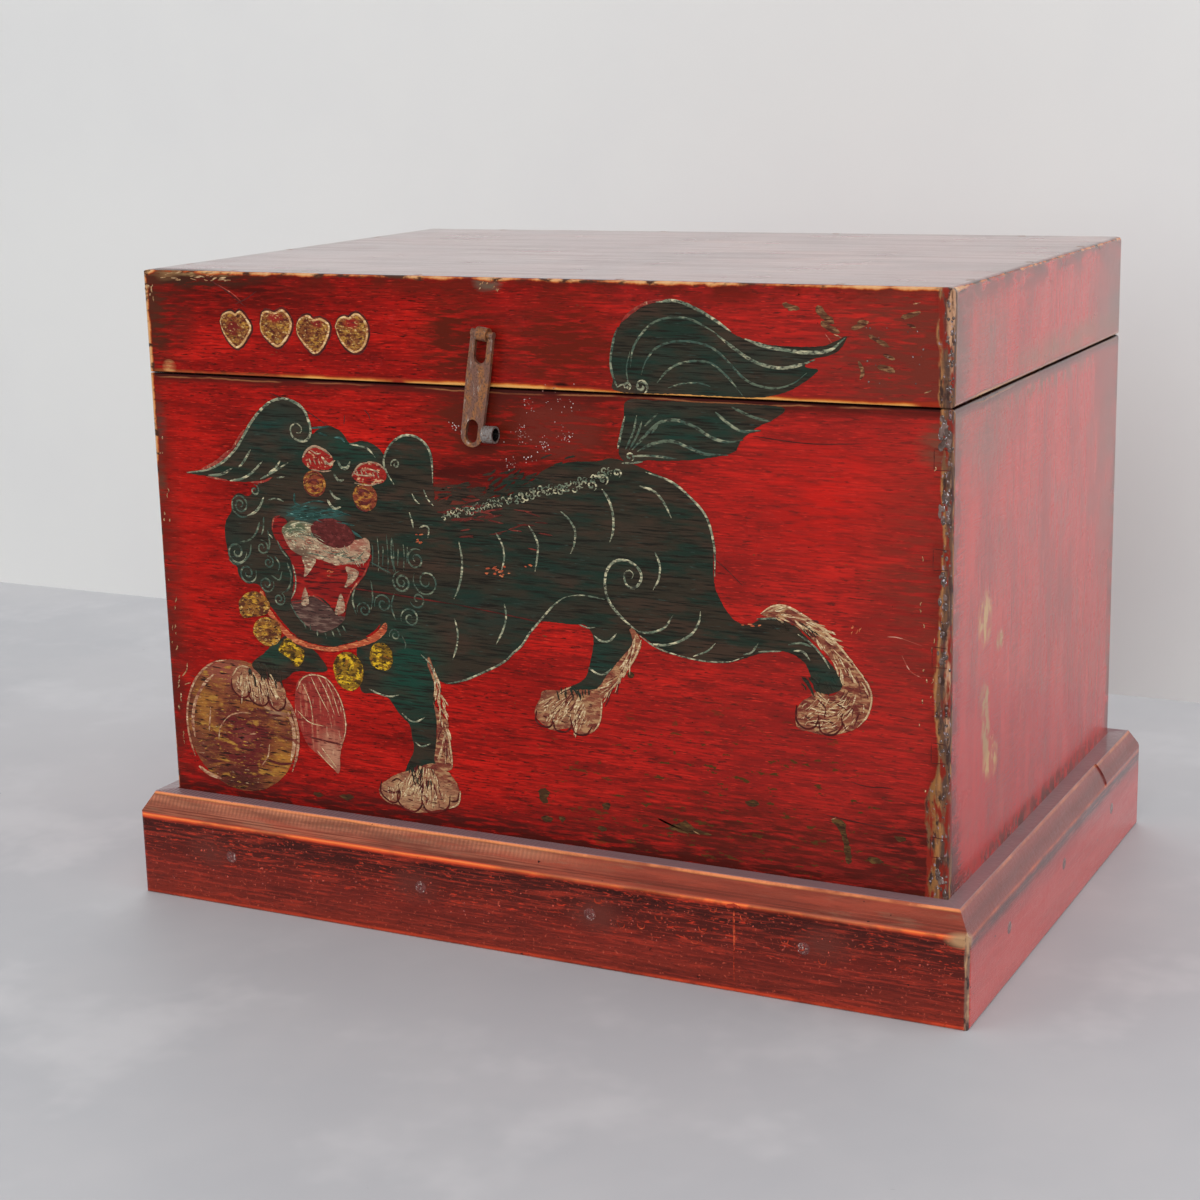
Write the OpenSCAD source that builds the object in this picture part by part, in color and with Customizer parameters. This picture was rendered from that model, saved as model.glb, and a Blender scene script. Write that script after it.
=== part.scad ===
// Old painted wooden trunk: a box of pinned boards on a mitred plinth, with a
// flat lid on two butt hinges at the back and a swinging hasp at the front.
// Millimetres. The origin is on the ground under the middle of the trunk,
// +X runs to the right along the front, +Y runs to the back and +Z is up.

/* [Box] */
// Width of the box across its front
box_w = 640; // [520:1:760]
// Depth of the box from front to back
box_d = 426; // [340:1:520]
// Height of the rim above the ground
rim_z = 416; // [320:1:500]
// Height of the closed lid above the rim
lid_h = 78; // [64:1:110]
// Thickness of the wall, lid and rail boards
board_t = 13; // [12:0.5:16]
// Radius worn onto the front and back edges of the lid's top
wear_r = 2.5; // [1:0.5:4]
// Radius worn onto the two edges that meet at the seam
seam_r = 1.5; // [0.5:0.5:3]
// Radius worn onto the upright corners of the box and the lid
corner_r = 4; // [1:0.5:6]
// Radius worn onto the two ends of the lid's top
lid_end_r = 4.5; // [1:0.5:6]
// Radius worn onto the ends of the lid and the box at the seam
seam_end_r = 3.5; // [0.5:0.5:5]
// Gap between the rim and the rails of the lid
lid_gap = 0.4; // [0.3:0.1:1]

/* [Floor] */
// Height of the underside of the floor above the ground
floor_z = 8; // [4:1:16]
// Thickness of the floor planks
floor_t = 12; // [8:0.5:16]
// Number of nails through a plank into each side board
plank_nails = 2; // [1:1:3]

/* [Corner joints] */
// Number of pins on each upright edge of a side board
box_pins = 6; // [4:1:7]
// Number of pins on each end of a side rail of the lid
lid_pins = 1; // [1:1:2]
// Height of a pin on the outside of its side board
pin_outer = 13; // [9:0.5:15]
// Height of a pin on the inside of its side board
pin_inner = 17; // [16:0.5:20]

/* [Plinth] */
// Height of the plinth rails
plinth_h = 83; // [60:1:110]
// Thickness of the plinth rails
plinth_t = 22; // [18:0.5:28]
// Width of the chamfer along the top of the plinth
chamfer_w = 10; // [5:0.5:14]
// Height of the chamfer along the top of the plinth
chamfer_h = 17.5; // [10:0.5:24]
// Radius worn onto the upright corners of the plinth
plinth_corner_r = 5; // [1:0.5:8]
// Radius worn onto the foot of the plinth
foot_r = 2; // [0.5:0.5:4]
// Wood left proud of the chamfer at the back of the right rail
proud_t = 1.2; // [0.4:0.1:2]
// Length of that proud stretch from the back corner
proud_len = 109; // [60:1:150]

/* [Nails] */
// Radius of a nail's shank
nail_r = 1.5; // [1:0.1:2]
// Radius of a nail's head
nail_head_r = 3.2; // [2.5:0.1:4]
// Thickness of a nail's head
nail_head_t = 1.2; // [0.8:0.1:2]
// Length of the nails in the lid and the plinth
nail_len = 32; // [30:0.5:34]
// Length of the nails in the floor
floor_nail_len = 26; // [22:0.5:28]
// Number of nails along a front or back board
long_nails = 4; // [3:1:5]
// Number of nails along a side rail of the plinth
side_nails = 3; // [2:1:4]
// Height of the plinth nails above the ground
plinth_nail_z = 41; // [38:1:48]
// Depth of the plinth nail heads below the surface
set_depth = 3; // [2:0.5:5]
// Radius of the filler over a plinth nail
filler_r = 4.6; // [4.2:0.1:6]
// Share of the depth at which the first nail of a lid side stands
lid_nail_first = 0.12; // [0.08:0.01:0.2]
// Share of the depth between the nails of a lid side
lid_nail_step = 0.32; // [0.2:0.01:0.36]

/* [Hinges] */
// Distance of the middle of each hinge from the end of the box
hinge_in = 120; // [100:1:160]
// Length of a hinge along its pin
leaf_w = 60; // [50:1:80]
// Height of a leaf from the pin to its edge
leaf_h = 28; // [24:0.5:34]
// Thickness of a hinge leaf
leaf_t = 2; // [1.5:0.1:2.4]
// Outer radius of the hinge knuckles
knuckle_r = 4; // [3.6:0.1:4.5]
// Radius of the hinge pin
pin_r = 2; // [1.6:0.1:2.4]
// Gap between the knuckles and the boards
knuckle_gap = 0.3; // [0.3:0.1:0.8]
// Gap between neighbouring knuckles
side_gap = 0.2; // [0.1:0.05:0.4]
// Radius of a leaf's rounded corners
leaf_corner_r = 3; // [1:0.5:5]
// Width of the rim that a hinge pin's head has round the pin
pin_rim = 1.4; // [0.8:0.1:1.8]
// Thickness of a hinge pin's head
pin_head_t = 1.2; // [0.8:0.1:2]
// Length of a hinge screw
screw_len = 12; // [9:0.5:12.5]
// Radius of a hinge screw's shank
screw_r = 1.6; // [1.2:0.1:2]
// Radius of a hinge screw's head
screw_head_r = 3.6; // [3:0.1:4]

/* [Hasp] */
// Distance of the hasp's eye to the right of the middle
eye_x = -21.5; // [-60:0.5:60]
// Height of the hasp's eye above the rim
eye_rise = 39; // [34:0.5:44]
// Distance of the lower staple below the rim
low_drop = 32; // [28:0.5:40]
// Distance of the lower staple to the right of the hasp's eye
low_dx = 3.2; // [2:0.1:6]
// Height by which the middle of the lower slot stands above the staple
slot_rise = 1; // [0:0.5:2]
// Iron left below the lower slot
hasp_end = 3; // [2:0.5:5]
// Width of the iron on each side of the slots at the top
side_w = 4; // [3:0.1:6]
// Width that the hasp gains from its top to its widest place
swell = 1; // [0:0.1:2]
// Distance of the widest place below the top bar
swell_z = 30; // [24:1:36]
// Width that the hasp loses from its top to its lower end
narrowing = 0.6; // [0:0.1:1.5]
// Thickness of the hasp's plate
hasp_t = 3; // [2:0.1:3.6]
// Radius of the hasp's top bar
bar_r = 2.7; // [2:0.1:3]
// Room across the slots beside the wider strip
slot_play = 0.6; // [0.4:0.1:1.5]
// Lower end of the upper slot below the top bar
upper_slot_end = 21; // [18:0.5:26]
// Height of the lower slot
lower_slot_h = 17; // [15:0.5:20]

/* [Staples] */
// Room round the hasp's bar in its eye
eye_play = 0.3; // [0.2:0.05:0.6]
// Inner radius of the eye that takes a padlock
low_eye_r = 4.3; // [3.5:0.1:4.8]
// Width of the strip at the hasp's eye
top_eye_w = 8.6; // [7:0.1:9]
// Width of the strip at the padlock eye
low_eye_w = 9; // [7:0.1:10]
// Gap between the front of the lid and the ring of the hasp's eye
top_stand = 1.3; // [1:0.1:3]
// Gap between the front board and the ring of the padlock eye
low_stand = 0.7; // [0.5:0.1:2]
// Thickness of the iron strip at an eye
strip_t = 1.9; // [1.5:0.1:2.2]
// Width of a staple's legs
leg_w = 5; // [4:0.1:6]
// Thickness of a staple's legs
leg_t = 1.7; // [1.2:0.1:1.8]
// Slit between the two legs of a staple
leg_slit = 0.4; // [0.3:0.1:0.6]
// Room round the legs in their hole
leg_play = 0.16; // [0.1:0.02:0.4]
// Length of a clinched leg end on the inside
clinch_len = 16; // [10:0.5:18]
// Gap between the hasp's turning staple and the inside of the rail
clinch_gap = 0.3; // [0.2:0.1:0.6]
// Gap between the leaning hasp and the lower staple
lean_gap = 0.3; // [0.3:0.1:1]

/* [Hidden] */
$fn = 48;

RED = "#b3231c";
PLINTH_BROWN = "#5c2a20";
BARE_WOOD = "#b58a5a";
IRON = "#5b463a";
FILLER = "#8a5a45";

// Clearance round nails, screws, fillers and hinge pins
fit_gap = 0.05;
// Spare length that lets a cutter pass right through a face
through = 1;

wall_z = floor_z + floor_t;
wall_h = rim_z - wall_z;
lid_z = rim_z + lid_gap;
top_z = rim_z + lid_h;
rail_h = top_z - board_t - lid_z;
front_y = -box_d / 2;
back_y = box_d / 2;

// Three planks share the depth of the floor, with a small gap at each joint
plank_gap = 0.5;
plank_d = (box_d - 2 * plank_gap) / 3;

// The plinth's front nails stand a little off even spacing, in this order
nail_drift = [-15, -3, -21, -16];
// Height of the bit of a nail that tapers to its point
nail_tip = 6;

slope = norm([chamfer_w, chamfer_h]);
slope_lean = atan2(chamfer_w, chamfer_h);

hinge_x = box_w / 2 - hinge_in;
hinge_y = back_y + knuckle_gap + knuckle_r;
hinge_z = rim_z + lid_gap / 2;
knuckles = 5;
knuckle_l = leaf_w / knuckles;
// A leaf's plate starts clear of the other leaf's knuckles
plate_gap = 0.5;
plate_start = knuckle_r + plate_gap;
// Radius of a leaf's corners beside the knuckles
inner_corner_r = 0.2;
screw_z = (plate_start + leaf_h) / 2;
screw_pitch = leaf_w / 3;
screw_slot_w = 0.8;
screw_slot_d = 0.7;
pin_head_r = pin_r + pin_rim;

eye_z = rim_z + eye_rise;
low_x = eye_x + low_dx;
low_z = rim_z - low_drop;
low_dz = eye_rise + low_drop;

top_eye_r = bar_r + eye_play;
top_eye_off = top_eye_r + strip_t + top_stand;
low_eye_off = low_eye_r + strip_t + low_stand;
leg_hole_r = norm([leg_w / 2, leg_slit / 2 + leg_t]) + leg_play;
// A staple narrows to its legs just before the board
neck_gap = 0.2;

slot_w = max(top_eye_w, low_eye_w) + slot_play;
lower_slot_z = low_dz - slot_rise;
hasp_len = lower_slot_z + lower_slot_h / 2 + hasp_end;
hasp_top_w = slot_w + 2 * side_w;
hasp_mid_w = hasp_top_w + swell;
hasp_low_w = hasp_top_w - narrowing;
hasp_low_z = hasp_len - hasp_low_w / 2;

// The hasp leans to the left until its edge meets the lower staple's ring.
// This is the ring's upper left corner, seen from the hasp's eye.
lean_at = [low_dx - low_eye_w / 2 - lean_gap, low_eye_r + strip_t - low_dz];
lean_half_w = (hasp_mid_w + (hasp_low_w - hasp_mid_w)
    * (norm(lean_at) - swell_z) / (hasp_low_z - swell_z)) / 2;
hasp_tilt = asin(lean_half_w / norm(lean_at)) - atan2(lean_at[0], -lean_at[1]);

function even_place(span, count, i) = span * ((i + 0.5) / count - 0.5);
// Rails and walls are named by their turn from the front, in degrees
function is_long(turn) = turn % 180 == 0;
function rail_span(turn) = is_long(turn) ? box_w : box_d;
function rail_reach(turn) = is_long(turn) ? box_d / 2 : box_w / 2;
function rail_nails(turn) = is_long(turn) ? long_nails : side_nails;

// A rectangle from y = 0 to y = h with its lower and upper corners rounded
module worn_rectangle(w, h, r_low, r_high) {
    for (side = [-1, 1]) {
        translate([side * (w / 2 - r_low), r_low]) circle(r_low);
        translate([side * (w / 2 - r_high), h - r_high]) circle(r_high);
    }
    translate([-w / 2 + r_low, 0]) square([w - 2 * r_low, r_low]);
    translate([-w / 2, r_low]) square([w, h - r_low - r_high]);
    translate([-w / 2 + r_high, h - r_high]) square([w - 2 * r_high, r_high]);
}

// A block with every outer edge worn round: its upright corners by upright_r,
// its long edges by a lower and an upper radius, and the edges at its ends
module worn_block(size, z_low, upright_r, long_r, end_r) {
    translate([0, 0, z_low]) intersection() {
        translate([0, -size[1] / 2, 0]) linear_extrude(size[2])
            worn_rectangle(size[0], size[1], upright_r, upright_r);
        rotate([90, 0, 90]) linear_extrude(size[0], center = true)
            worn_rectangle(size[1], size[2], long_r[0], long_r[1]);
        rotate([90, 0, 0]) linear_extrude(size[1], center = true)
            worn_rectangle(size[0], size[2], end_r[0], end_r[1]);
    }
}

module worn_box() {
    worn_block([box_w, box_d, rim_z], 0, corner_r, [wear_r, seam_r], [wear_r, seam_end_r]);
}

module worn_lid() {
    worn_block([box_w, box_d, top_z - lid_z], lid_z, corner_r, [seam_r, wear_r],
        [seam_end_r, lid_end_r]);
}

module worn_plinth() {
    worn_block([box_w + 2 * plinth_t, box_d + 2 * plinth_t, plinth_h], 0, plinth_corner_r,
        [foot_r, foot_r], [foot_r, foot_r]);
}

// The pins of one side board: wide inside and narrow outside, so that the
// front and back boards can only be drawn off sideways
module pins(side, z_low, h, count) {
    for (i = [0 : count - 1])
        translate([0, 0, z_low + h * (i + 0.5) / count])
            rotate([90, 0, 0]) linear_extrude(box_d, center = true)
                polygon([
                    [side * box_w / 2, -pin_outer / 2],
                    [side * box_w / 2, pin_outer / 2],
                    [side * (box_w / 2 - board_t), pin_inner / 2],
                    [side * (box_w / 2 - board_t), -pin_inner / 2]
                ]);
}

// A front or back board with sockets for the pins at both ends
module long_board(y, z_low, h, count) {
    difference() {
        translate([-box_w / 2, y < 0 ? front_y : back_y - board_t, z_low])
            cube([box_w, board_t, h]);
        pins(-1, z_low, h, count);
        pins(1, z_low, h, count);
    }
}

// A side board between the front and back boards, with its pins
module side_board(side, z_low, h, count) {
    translate([side < 0 ? -box_w / 2 : box_w / 2 - board_t, front_y + board_t, z_low])
        cube([board_t, box_d - 2 * board_t, h]);
    pins(side, z_low, h, count);
}

// A nail driven down from the origin, made larger all round by grow
module nail(length, grow = 0) {
    translate([0, 0, -nail_head_t]) cylinder(h = nail_head_t, r = nail_head_r + grow);
    translate([0, 0, -length + nail_tip])
        cylinder(h = length - nail_tip - nail_head_t, r = nail_r + grow);
    translate([0, 0, -length])
        cylinder(h = nail_tip, r1 = nail_r / 4 + grow, r2 = nail_r + grow);
}

// Puts its child, which points down, at each nail of one plinth rail
module at_rail_nails(turn) {
    for (i = [0 : rail_nails(turn) - 1])
        rotate([0, 0, turn])
            translate([
                even_place(rail_span(turn), rail_nails(turn), i)
                    + (turn == 0 ? nail_drift[i % len(nail_drift)] : 0),
                -rail_reach(turn) - plinth_t,
                plinth_nail_z
            ])
                rotate([90, 0, 0]) children();
}

module rail_nail(grow = 0) {
    translate([0, 0, -set_depth]) nail(nail_len - set_depth, grow);
}

module rail_nail_hole() {
    rail_nail(fit_gap);
    translate([0, 0, -set_depth]) cylinder(h = set_depth + through, r = filler_r + fit_gap);
}

module rail_nail_holes(turn) {
    at_rail_nails(turn) rail_nail_hole();
}

module at_floor_nails() {
    for (i = [0 : long_nails - 1], side = [-1, 1])
        translate([even_place(box_w, long_nails, i), side * (box_d - board_t) / 2, floor_z])
            rotate([180, 0, 0]) children();
    for (plank = [-1 : 1], i = [0 : plank_nails - 1], side = [-1, 1])
        translate([
            side * (box_w - board_t) / 2,
            plank * (plank_d + plank_gap) + even_place(plank_d / 1.5, plank_nails, i),
            floor_z
        ])
            rotate([180, 0, 0]) children();
}

module floor_nail_holes() {
    at_floor_nails() nail(floor_nail_len, fit_gap);
}

module at_lid_nails() {
    for (i = [0 : long_nails - 1], side = [-1, 1])
        translate([even_place(box_w, long_nails, i), side * (box_d - board_t) / 2, top_z])
            children();
    for (i = [0 : 2], side = [-1, 1])
        translate([
            side * (box_w - board_t) / 2,
            front_y + box_d * (lid_nail_first + i * lid_nail_step),
            top_z
        ])
            children();
}

module lid_nail_holes() {
    at_lid_nails() nail(nail_len, fit_gap);
}

// A hole through a front board for the legs of a staple
module leg_hole(x, z) {
    translate([x, front_y - through, z]) rotate([-90, 0, 0])
        cylinder(h = board_t + 2 * through, r = leg_hole_r);
}

// A wall board trimmed to the worn outside and drilled for all its nails
module box_wall(turn) {
    color(RED) difference() {
        intersection() {
            children();
            worn_box();
        }
        rail_nail_holes(turn);
        floor_nail_holes();
    }
}

module front_board() {
    difference() {
        box_wall(0) long_board(front_y, wall_z, wall_h, box_pins);
        leg_hole(low_x, low_z);
    }
}

module back_board() {
    difference() {
        box_wall(180) long_board(back_y, wall_z, wall_h, box_pins);
        hinge_screw_holes();
    }
}

module left_board() {
    box_wall(270) side_board(-1, wall_z, wall_h, box_pins);
}

module right_board() {
    box_wall(90) side_board(1, wall_z, wall_h, box_pins);
}

// One of the three floor planks, counted from the front as -1, 0 and 1
module floor_plank(place) {
    color(BARE_WOOD) difference() {
        translate([-box_w / 2, place * (plank_d + plank_gap) - plank_d / 2, floor_z])
            cube([box_w, plank_d, floor_t]);
        floor_nail_holes();
    }
}

module floor_plank_front() {
    floor_plank(-1);
}

module floor_plank_middle() {
    floor_plank(0);
}

module floor_plank_back() {
    floor_plank(1);
}

module floor_nails() {
    color(IRON) at_floor_nails() nail(floor_nail_len);
}

// Section of a plinth rail, outwards to the left, its chamfer proud by extra
module rail_section(extra) {
    drop = extra * slope / chamfer_w;
    reach = extra * slope / chamfer_h;
    polygon([
        [0, 0],
        [-plinth_t, 0],
        [-plinth_t, plinth_h - chamfer_h + drop],
        [-plinth_t + chamfer_w - reach, plinth_h],
        [0, plinth_h]
    ]);
}

// A plinth rail at the front, with mitred ends, turned to its own side
module plinth_rail(turn, extra = 0) {
    span = rail_span(turn);
    reach = rail_reach(turn);
    color(PLINTH_BROWN) difference() {
        intersection() {
            rotate([0, 0, turn]) intersection() {
                rotate([90, 0, 90]) linear_extrude(span + 2 * plinth_t, center = true)
                    translate([-reach, 0]) rail_section(extra);
                linear_extrude(plinth_h) polygon([
                    [-span / 2 - plinth_t, -reach - plinth_t],
                    [span / 2 + plinth_t, -reach - plinth_t],
                    [span / 2, -reach],
                    [-span / 2, -reach]
                ]);
            }
            worn_plinth();
        }
        rail_nail_holes(turn);
    }
}

// The stroke that cut the right rail's chamfer and stopped short of the back
module chamfer_stroke() {
    stroke_r = 0.75 * slope;
    start = front_y - plinth_t - through;
    stop = back_y + plinth_t - proud_len;
    spare = slope / 2;
    translate([box_w / 2 + plinth_t, 0, plinth_h - chamfer_h]) rotate([0, -slope_lean, 0]) {
        translate([0, start, -spare]) cube([2 * proud_t + through, stop - stroke_r - start, 2 * slope]);
        translate([0, stop - stroke_r, slope / 2]) rotate([0, 90, 0])
            cylinder(h = 2 * proud_t + through, r = stroke_r);
    }
}

module plinth_front() {
    plinth_rail(0);
}

module plinth_back() {
    plinth_rail(180);
}

module plinth_left() {
    plinth_rail(270);
}

module plinth_right() {
    difference() {
        plinth_rail(90, proud_t);
        chamfer_stroke();
    }
}

module plinth_nails() {
    color(IRON) for (turn = [0 : 90 : 270])
        at_rail_nails(turn) rail_nail();
}

module plinth_fillers() {
    color(FILLER) for (turn = [0 : 90 : 270])
        at_rail_nails(turn) translate([0, 0, -set_depth]) cylinder(h = set_depth, r = filler_r);
}

module lid_wall() {
    color(RED) difference() {
        intersection() {
            children();
            worn_lid();
        }
        lid_nail_holes();
    }
}

module lid_top_board() {
    lid_wall() translate([-box_w / 2, front_y, top_z - board_t]) cube([box_w, box_d, board_t]);
}

module lid_front_rail() {
    difference() {
        lid_wall() long_board(front_y, lid_z, rail_h, lid_pins);
        leg_hole(eye_x, eye_z);
    }
}

module lid_back_rail() {
    difference() {
        lid_wall() long_board(back_y, lid_z, rail_h, lid_pins);
        hinge_screw_holes();
    }
}

module lid_left_rail() {
    lid_wall() side_board(-1, lid_z, rail_h, lid_pins);
}

module lid_right_rail() {
    lid_wall() side_board(1, lid_z, rail_h, lid_pins);
}

// The nails at the ends of the lid are worn down with its rounded edge
module lid_nails() {
    color(IRON) intersection() {
        at_lid_nails() nail(nail_len);
        worn_lid();
    }
}

// Puts its child, drawn round a pin along X with the wood behind it, at a hinge
module at_hinge(side) {
    translate([side * hinge_x, hinge_y, hinge_z]) children();
}

// A screw driven from the face of a leaf into the wood, made larger by grow
module screw(grow = 0) {
    translate([0, 0, -screw_len]) cylinder(h = screw_len, r = screw_r + grow);
    translate([0, 0, -leaf_t])
        cylinder(h = leaf_t, r1 = screw_r + grow, r2 = screw_head_r + grow);
}

// Puts its child, which points down, at the screws of an upper or lower leaf
module at_leaf_screws(up) {
    for (i = [-1 : 1])
        translate([i * screw_pitch, -knuckle_gap - knuckle_r + leaf_t, up * screw_z])
            rotate([-90, 0, 0]) children();
}

module hinge_screws(up) {
    color(IRON) for (side = [-1, 1])
        at_hinge(side) at_leaf_screws(up) difference() {
            screw();
            translate([-screw_head_r - through, -screw_slot_w / 2, -screw_slot_d])
                cube([2 * (screw_head_r + through), screw_slot_w, screw_slot_d + through]);
        }
}

module hinge_screw_holes() {
    for (side = [-1, 1], up = [-1, 1])
        at_hinge(side) at_leaf_screws(up) screw(fit_gap);
}

// One leaf with every other knuckle, starting at knuckle number first
module hinge_leaf(side, up) {
    first = up < 0 ? 0 : 1;
    wood = -knuckle_gap - knuckle_r;
    color(IRON) at_hinge(side) difference() {
        union() {
            translate([0, wood, 0]) rotate([-90, 0, 0]) linear_extrude(leaf_t) {
                mirror([0, up > 0 ? 1 : 0]) translate([0, plate_start])
                    worn_rectangle(leaf_w, leaf_h - plate_start, inner_corner_r, leaf_corner_r);
                for (i = [first : 2 : knuckles - 1])
                    translate([
                        (i - knuckles / 2) * knuckle_l + side_gap / 2,
                        up > 0 ? -plate_start - through : 0
                    ])
                        square([knuckle_l - side_gap, plate_start + through]);
            }
            for (i = [first : 2 : knuckles - 1])
                translate([(i - knuckles / 2) * knuckle_l + side_gap / 2, 0, 0])
                    rotate([0, 90, 0]) cylinder(h = knuckle_l - side_gap, r = knuckle_r);
        }
        rotate([0, 90, 0])
            cylinder(h = leaf_w + 2 * through, r = pin_r + fit_gap, center = true);
        at_leaf_screws(up) screw(fit_gap);
    }
}

module hinge_leaf_left_lower() {
    hinge_leaf(-1, -1);
}

module hinge_leaf_right_lower() {
    hinge_leaf(1, -1);
}

module hinge_leaf_left_upper() {
    hinge_leaf(-1, 1);
}

module hinge_leaf_right_upper() {
    hinge_leaf(1, 1);
}

// A hinge pin with a riveted head at each end
module hinge_pin(side) {
    color(IRON) at_hinge(side) rotate([0, 90, 0]) {
        cylinder(h = leaf_w + pin_head_t, r = pin_r, center = true);
        for (end = [-1, 1])
            translate([0, 0, end * (leaf_w + pin_head_t) / 2])
                cylinder(h = pin_head_t, r = pin_head_r, center = true);
    }
}

module hinge_pin_left() {
    hinge_pin(-1);
}

module hinge_pin_right() {
    hinge_pin(1);
}

module hinge_screws_lower() {
    hinge_screws(-1);
}

module hinge_screws_upper() {
    hinge_screws(1);
}

// A strip of iron bent round an eye, its two legs driven through the board and
// clinched inside. The eye is at the origin and the board starts at y = off.
module staple(eye_r, eye_w, off, gap) {
    inside_y = off + board_t + gap;
    leg_y = eye_r + strip_t / 2;
    difference() {
        rotate([0, 90, 0]) cylinder(h = eye_w, r = eye_r + strip_t, center = true);
        rotate([0, 90, 0]) cylinder(h = eye_w + 2 * through, r = eye_r, center = true);
        translate([-eye_w, 0, -leg_slit / 2]) cube([2 * eye_w, 2 * eye_r, leg_slit]);
    }
    for (up = [0, 1]) mirror([0, 0, up]) {
        translate([0, 0, leg_slit / 2]) linear_extrude(leg_t) polygon([
            [-eye_w / 2, leg_y],
            [eye_w / 2, leg_y],
            [leg_w / 2, off - neck_gap],
            [leg_w / 2, inside_y + leg_t],
            [-leg_w / 2, inside_y + leg_t],
            [-leg_w / 2, off - neck_gap]
        ]);
        translate([0, inside_y + leg_t, 0]) rotate([90, 0, 0]) linear_extrude(leg_t) polygon([
            [-leg_w / 2, leg_slit / 2],
            [leg_w / 2, leg_slit / 2],
            [leg_w / 2, clinch_len - leg_w],
            [leg_w / 5, clinch_len],
            [-leg_w / 5, clinch_len],
            [-leg_w / 2, clinch_len - leg_w]
        ]);
    }
}

module lock_staple() {
    color(IRON) translate([low_x, front_y - low_eye_off, low_z])
        staple(low_eye_r, low_eye_w, low_eye_off, 0);
}

// Puts its child at the hasp's eye, turned to the angle at which it leans
module at_hasp() {
    translate([eye_x, front_y - top_eye_off, eye_z]) rotate([0, hasp_tilt, 0]) children();
}

module hasp_staple() {
    color(IRON) at_hasp() staple(top_eye_r, top_eye_w, top_eye_off, clinch_gap);
}

// A slot with round ends from y = low to y = high
module slot(low, high) {
    translate([0, low + slot_w / 2]) circle(slot_w / 2);
    translate([0, high - slot_w / 2]) circle(slot_w / 2);
    translate([-slot_w / 2, low + slot_w / 2]) square([slot_w, high - low - slot_w]);
}

module hasp_outline() {
    polygon([
        [-hasp_top_w / 2, 0],
        [hasp_top_w / 2, 0],
        [hasp_mid_w / 2, -swell_z],
        [hasp_low_w / 2, -hasp_low_z],
        [-hasp_low_w / 2, -hasp_low_z],
        [-hasp_mid_w / 2, -swell_z]
    ]);
    translate([0, -hasp_low_z]) circle(hasp_low_w / 2);
}

// The hasp: a forged plate with two slots, hung by the round bar at its top
module hasp() {
    color(IRON) at_hasp() {
        rotate([90, 0, 0]) linear_extrude(hasp_t, center = true) difference() {
            hasp_outline();
            slot(-upper_slot_end, slot_w);
            slot(-lower_slot_z - lower_slot_h / 2, -lower_slot_z + lower_slot_h / 2);
        }
        rotate([0, 90, 0]) cylinder(h = hasp_top_w, r = bar_r, center = true);
    }
}

front_board();
back_board();
left_board();
right_board();
floor_plank_front();
floor_plank_middle();
floor_plank_back();
floor_nails();
plinth_front();
plinth_back();
plinth_left();
plinth_right();
plinth_nails();
plinth_fillers();
lock_staple();
hinge_leaf_left_lower();
hinge_leaf_right_lower();
hinge_pin_left();
hinge_pin_right();
hinge_screws_lower();
lid_top_board();
lid_front_rail();
lid_back_rail();
lid_left_rail();
lid_right_rail();
lid_nails();
hinge_leaf_left_upper();
hinge_leaf_right_upper();
hinge_screws_upper();
hasp_staple();
hasp();
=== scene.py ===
"""Looks of an old Chinese painted trunk: worn red lacquer on softwood boards, a brown stained plinth, rusty forged
iron, and a guardian lion painted across the front and the lid. Everything is in metres, in the frame of the CAD."""

import math
import random

import bpy
from mathutils import Matrix, Vector


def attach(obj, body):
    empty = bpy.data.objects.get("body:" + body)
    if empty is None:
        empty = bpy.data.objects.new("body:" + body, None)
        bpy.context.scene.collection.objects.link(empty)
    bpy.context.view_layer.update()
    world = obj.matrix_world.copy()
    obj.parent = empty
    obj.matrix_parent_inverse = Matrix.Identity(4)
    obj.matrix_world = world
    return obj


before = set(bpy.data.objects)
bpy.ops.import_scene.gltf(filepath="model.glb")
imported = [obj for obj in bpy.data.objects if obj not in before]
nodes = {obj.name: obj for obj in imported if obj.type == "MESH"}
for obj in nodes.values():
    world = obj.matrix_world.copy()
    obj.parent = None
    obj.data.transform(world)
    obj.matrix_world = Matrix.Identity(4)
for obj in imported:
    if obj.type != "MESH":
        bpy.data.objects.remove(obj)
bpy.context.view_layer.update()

MM = 0.001
HALF_W, HALF_D = 320, 213      # the box's half width and half depth, mm
FRONT_Y = -HALF_D              # the front face of the box and of the lid, mm
PLINTH_TOP = 83                # the heights are over the floor, mm
SEAM_Z = 416.2                 # middle of the gap between the box and the lid, mm
LID_TOP = 494
PLINTH_HALF_W, PLINTH_HALF_D, CHAMFER_FOOT = 342, 235, 65.5
LOCK_EYE = (-18.3, -219.9, 384)                                # middle of the lower staple's eye, mm
NAILS_SEEN = ((-275, 44), (-88, 42), (63, 41), (240, 46))      # x and z of the plinth's sunk nails, mm
CORNER_R = 4                   # radius worn onto the box's upright corners, mm
SUNK = 0.3                     # how far a painted shape reaches into its board, so that it never floats, mm
SEED_SHIFT = (3.7, 1.9, 5.3)   # how far each seed moves a cloud of patches along x, y and z
SHAPE_STEP, LINE_STEP, LINE_RISE = 0.02, 0.01, 0.1             # how far each shape or line of a piece stands over
                                                               # the one before it, and lines at most, mm


# Tools for the materials
def srgb(code):
    """Turns an sRGB hex colour into the linear colour that a shader works in."""
    parts = [int(code[i:i + 2], 16) / 255 for i in (1, 3, 5)]
    return (*[p / 12.92 if p <= 0.04045 else ((p + 0.055) / 1.055) ** 2.4 for p in parts], 1)


def grey(level):
    """The grey that stands for a roughness."""
    return level, level, level, 1


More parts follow.
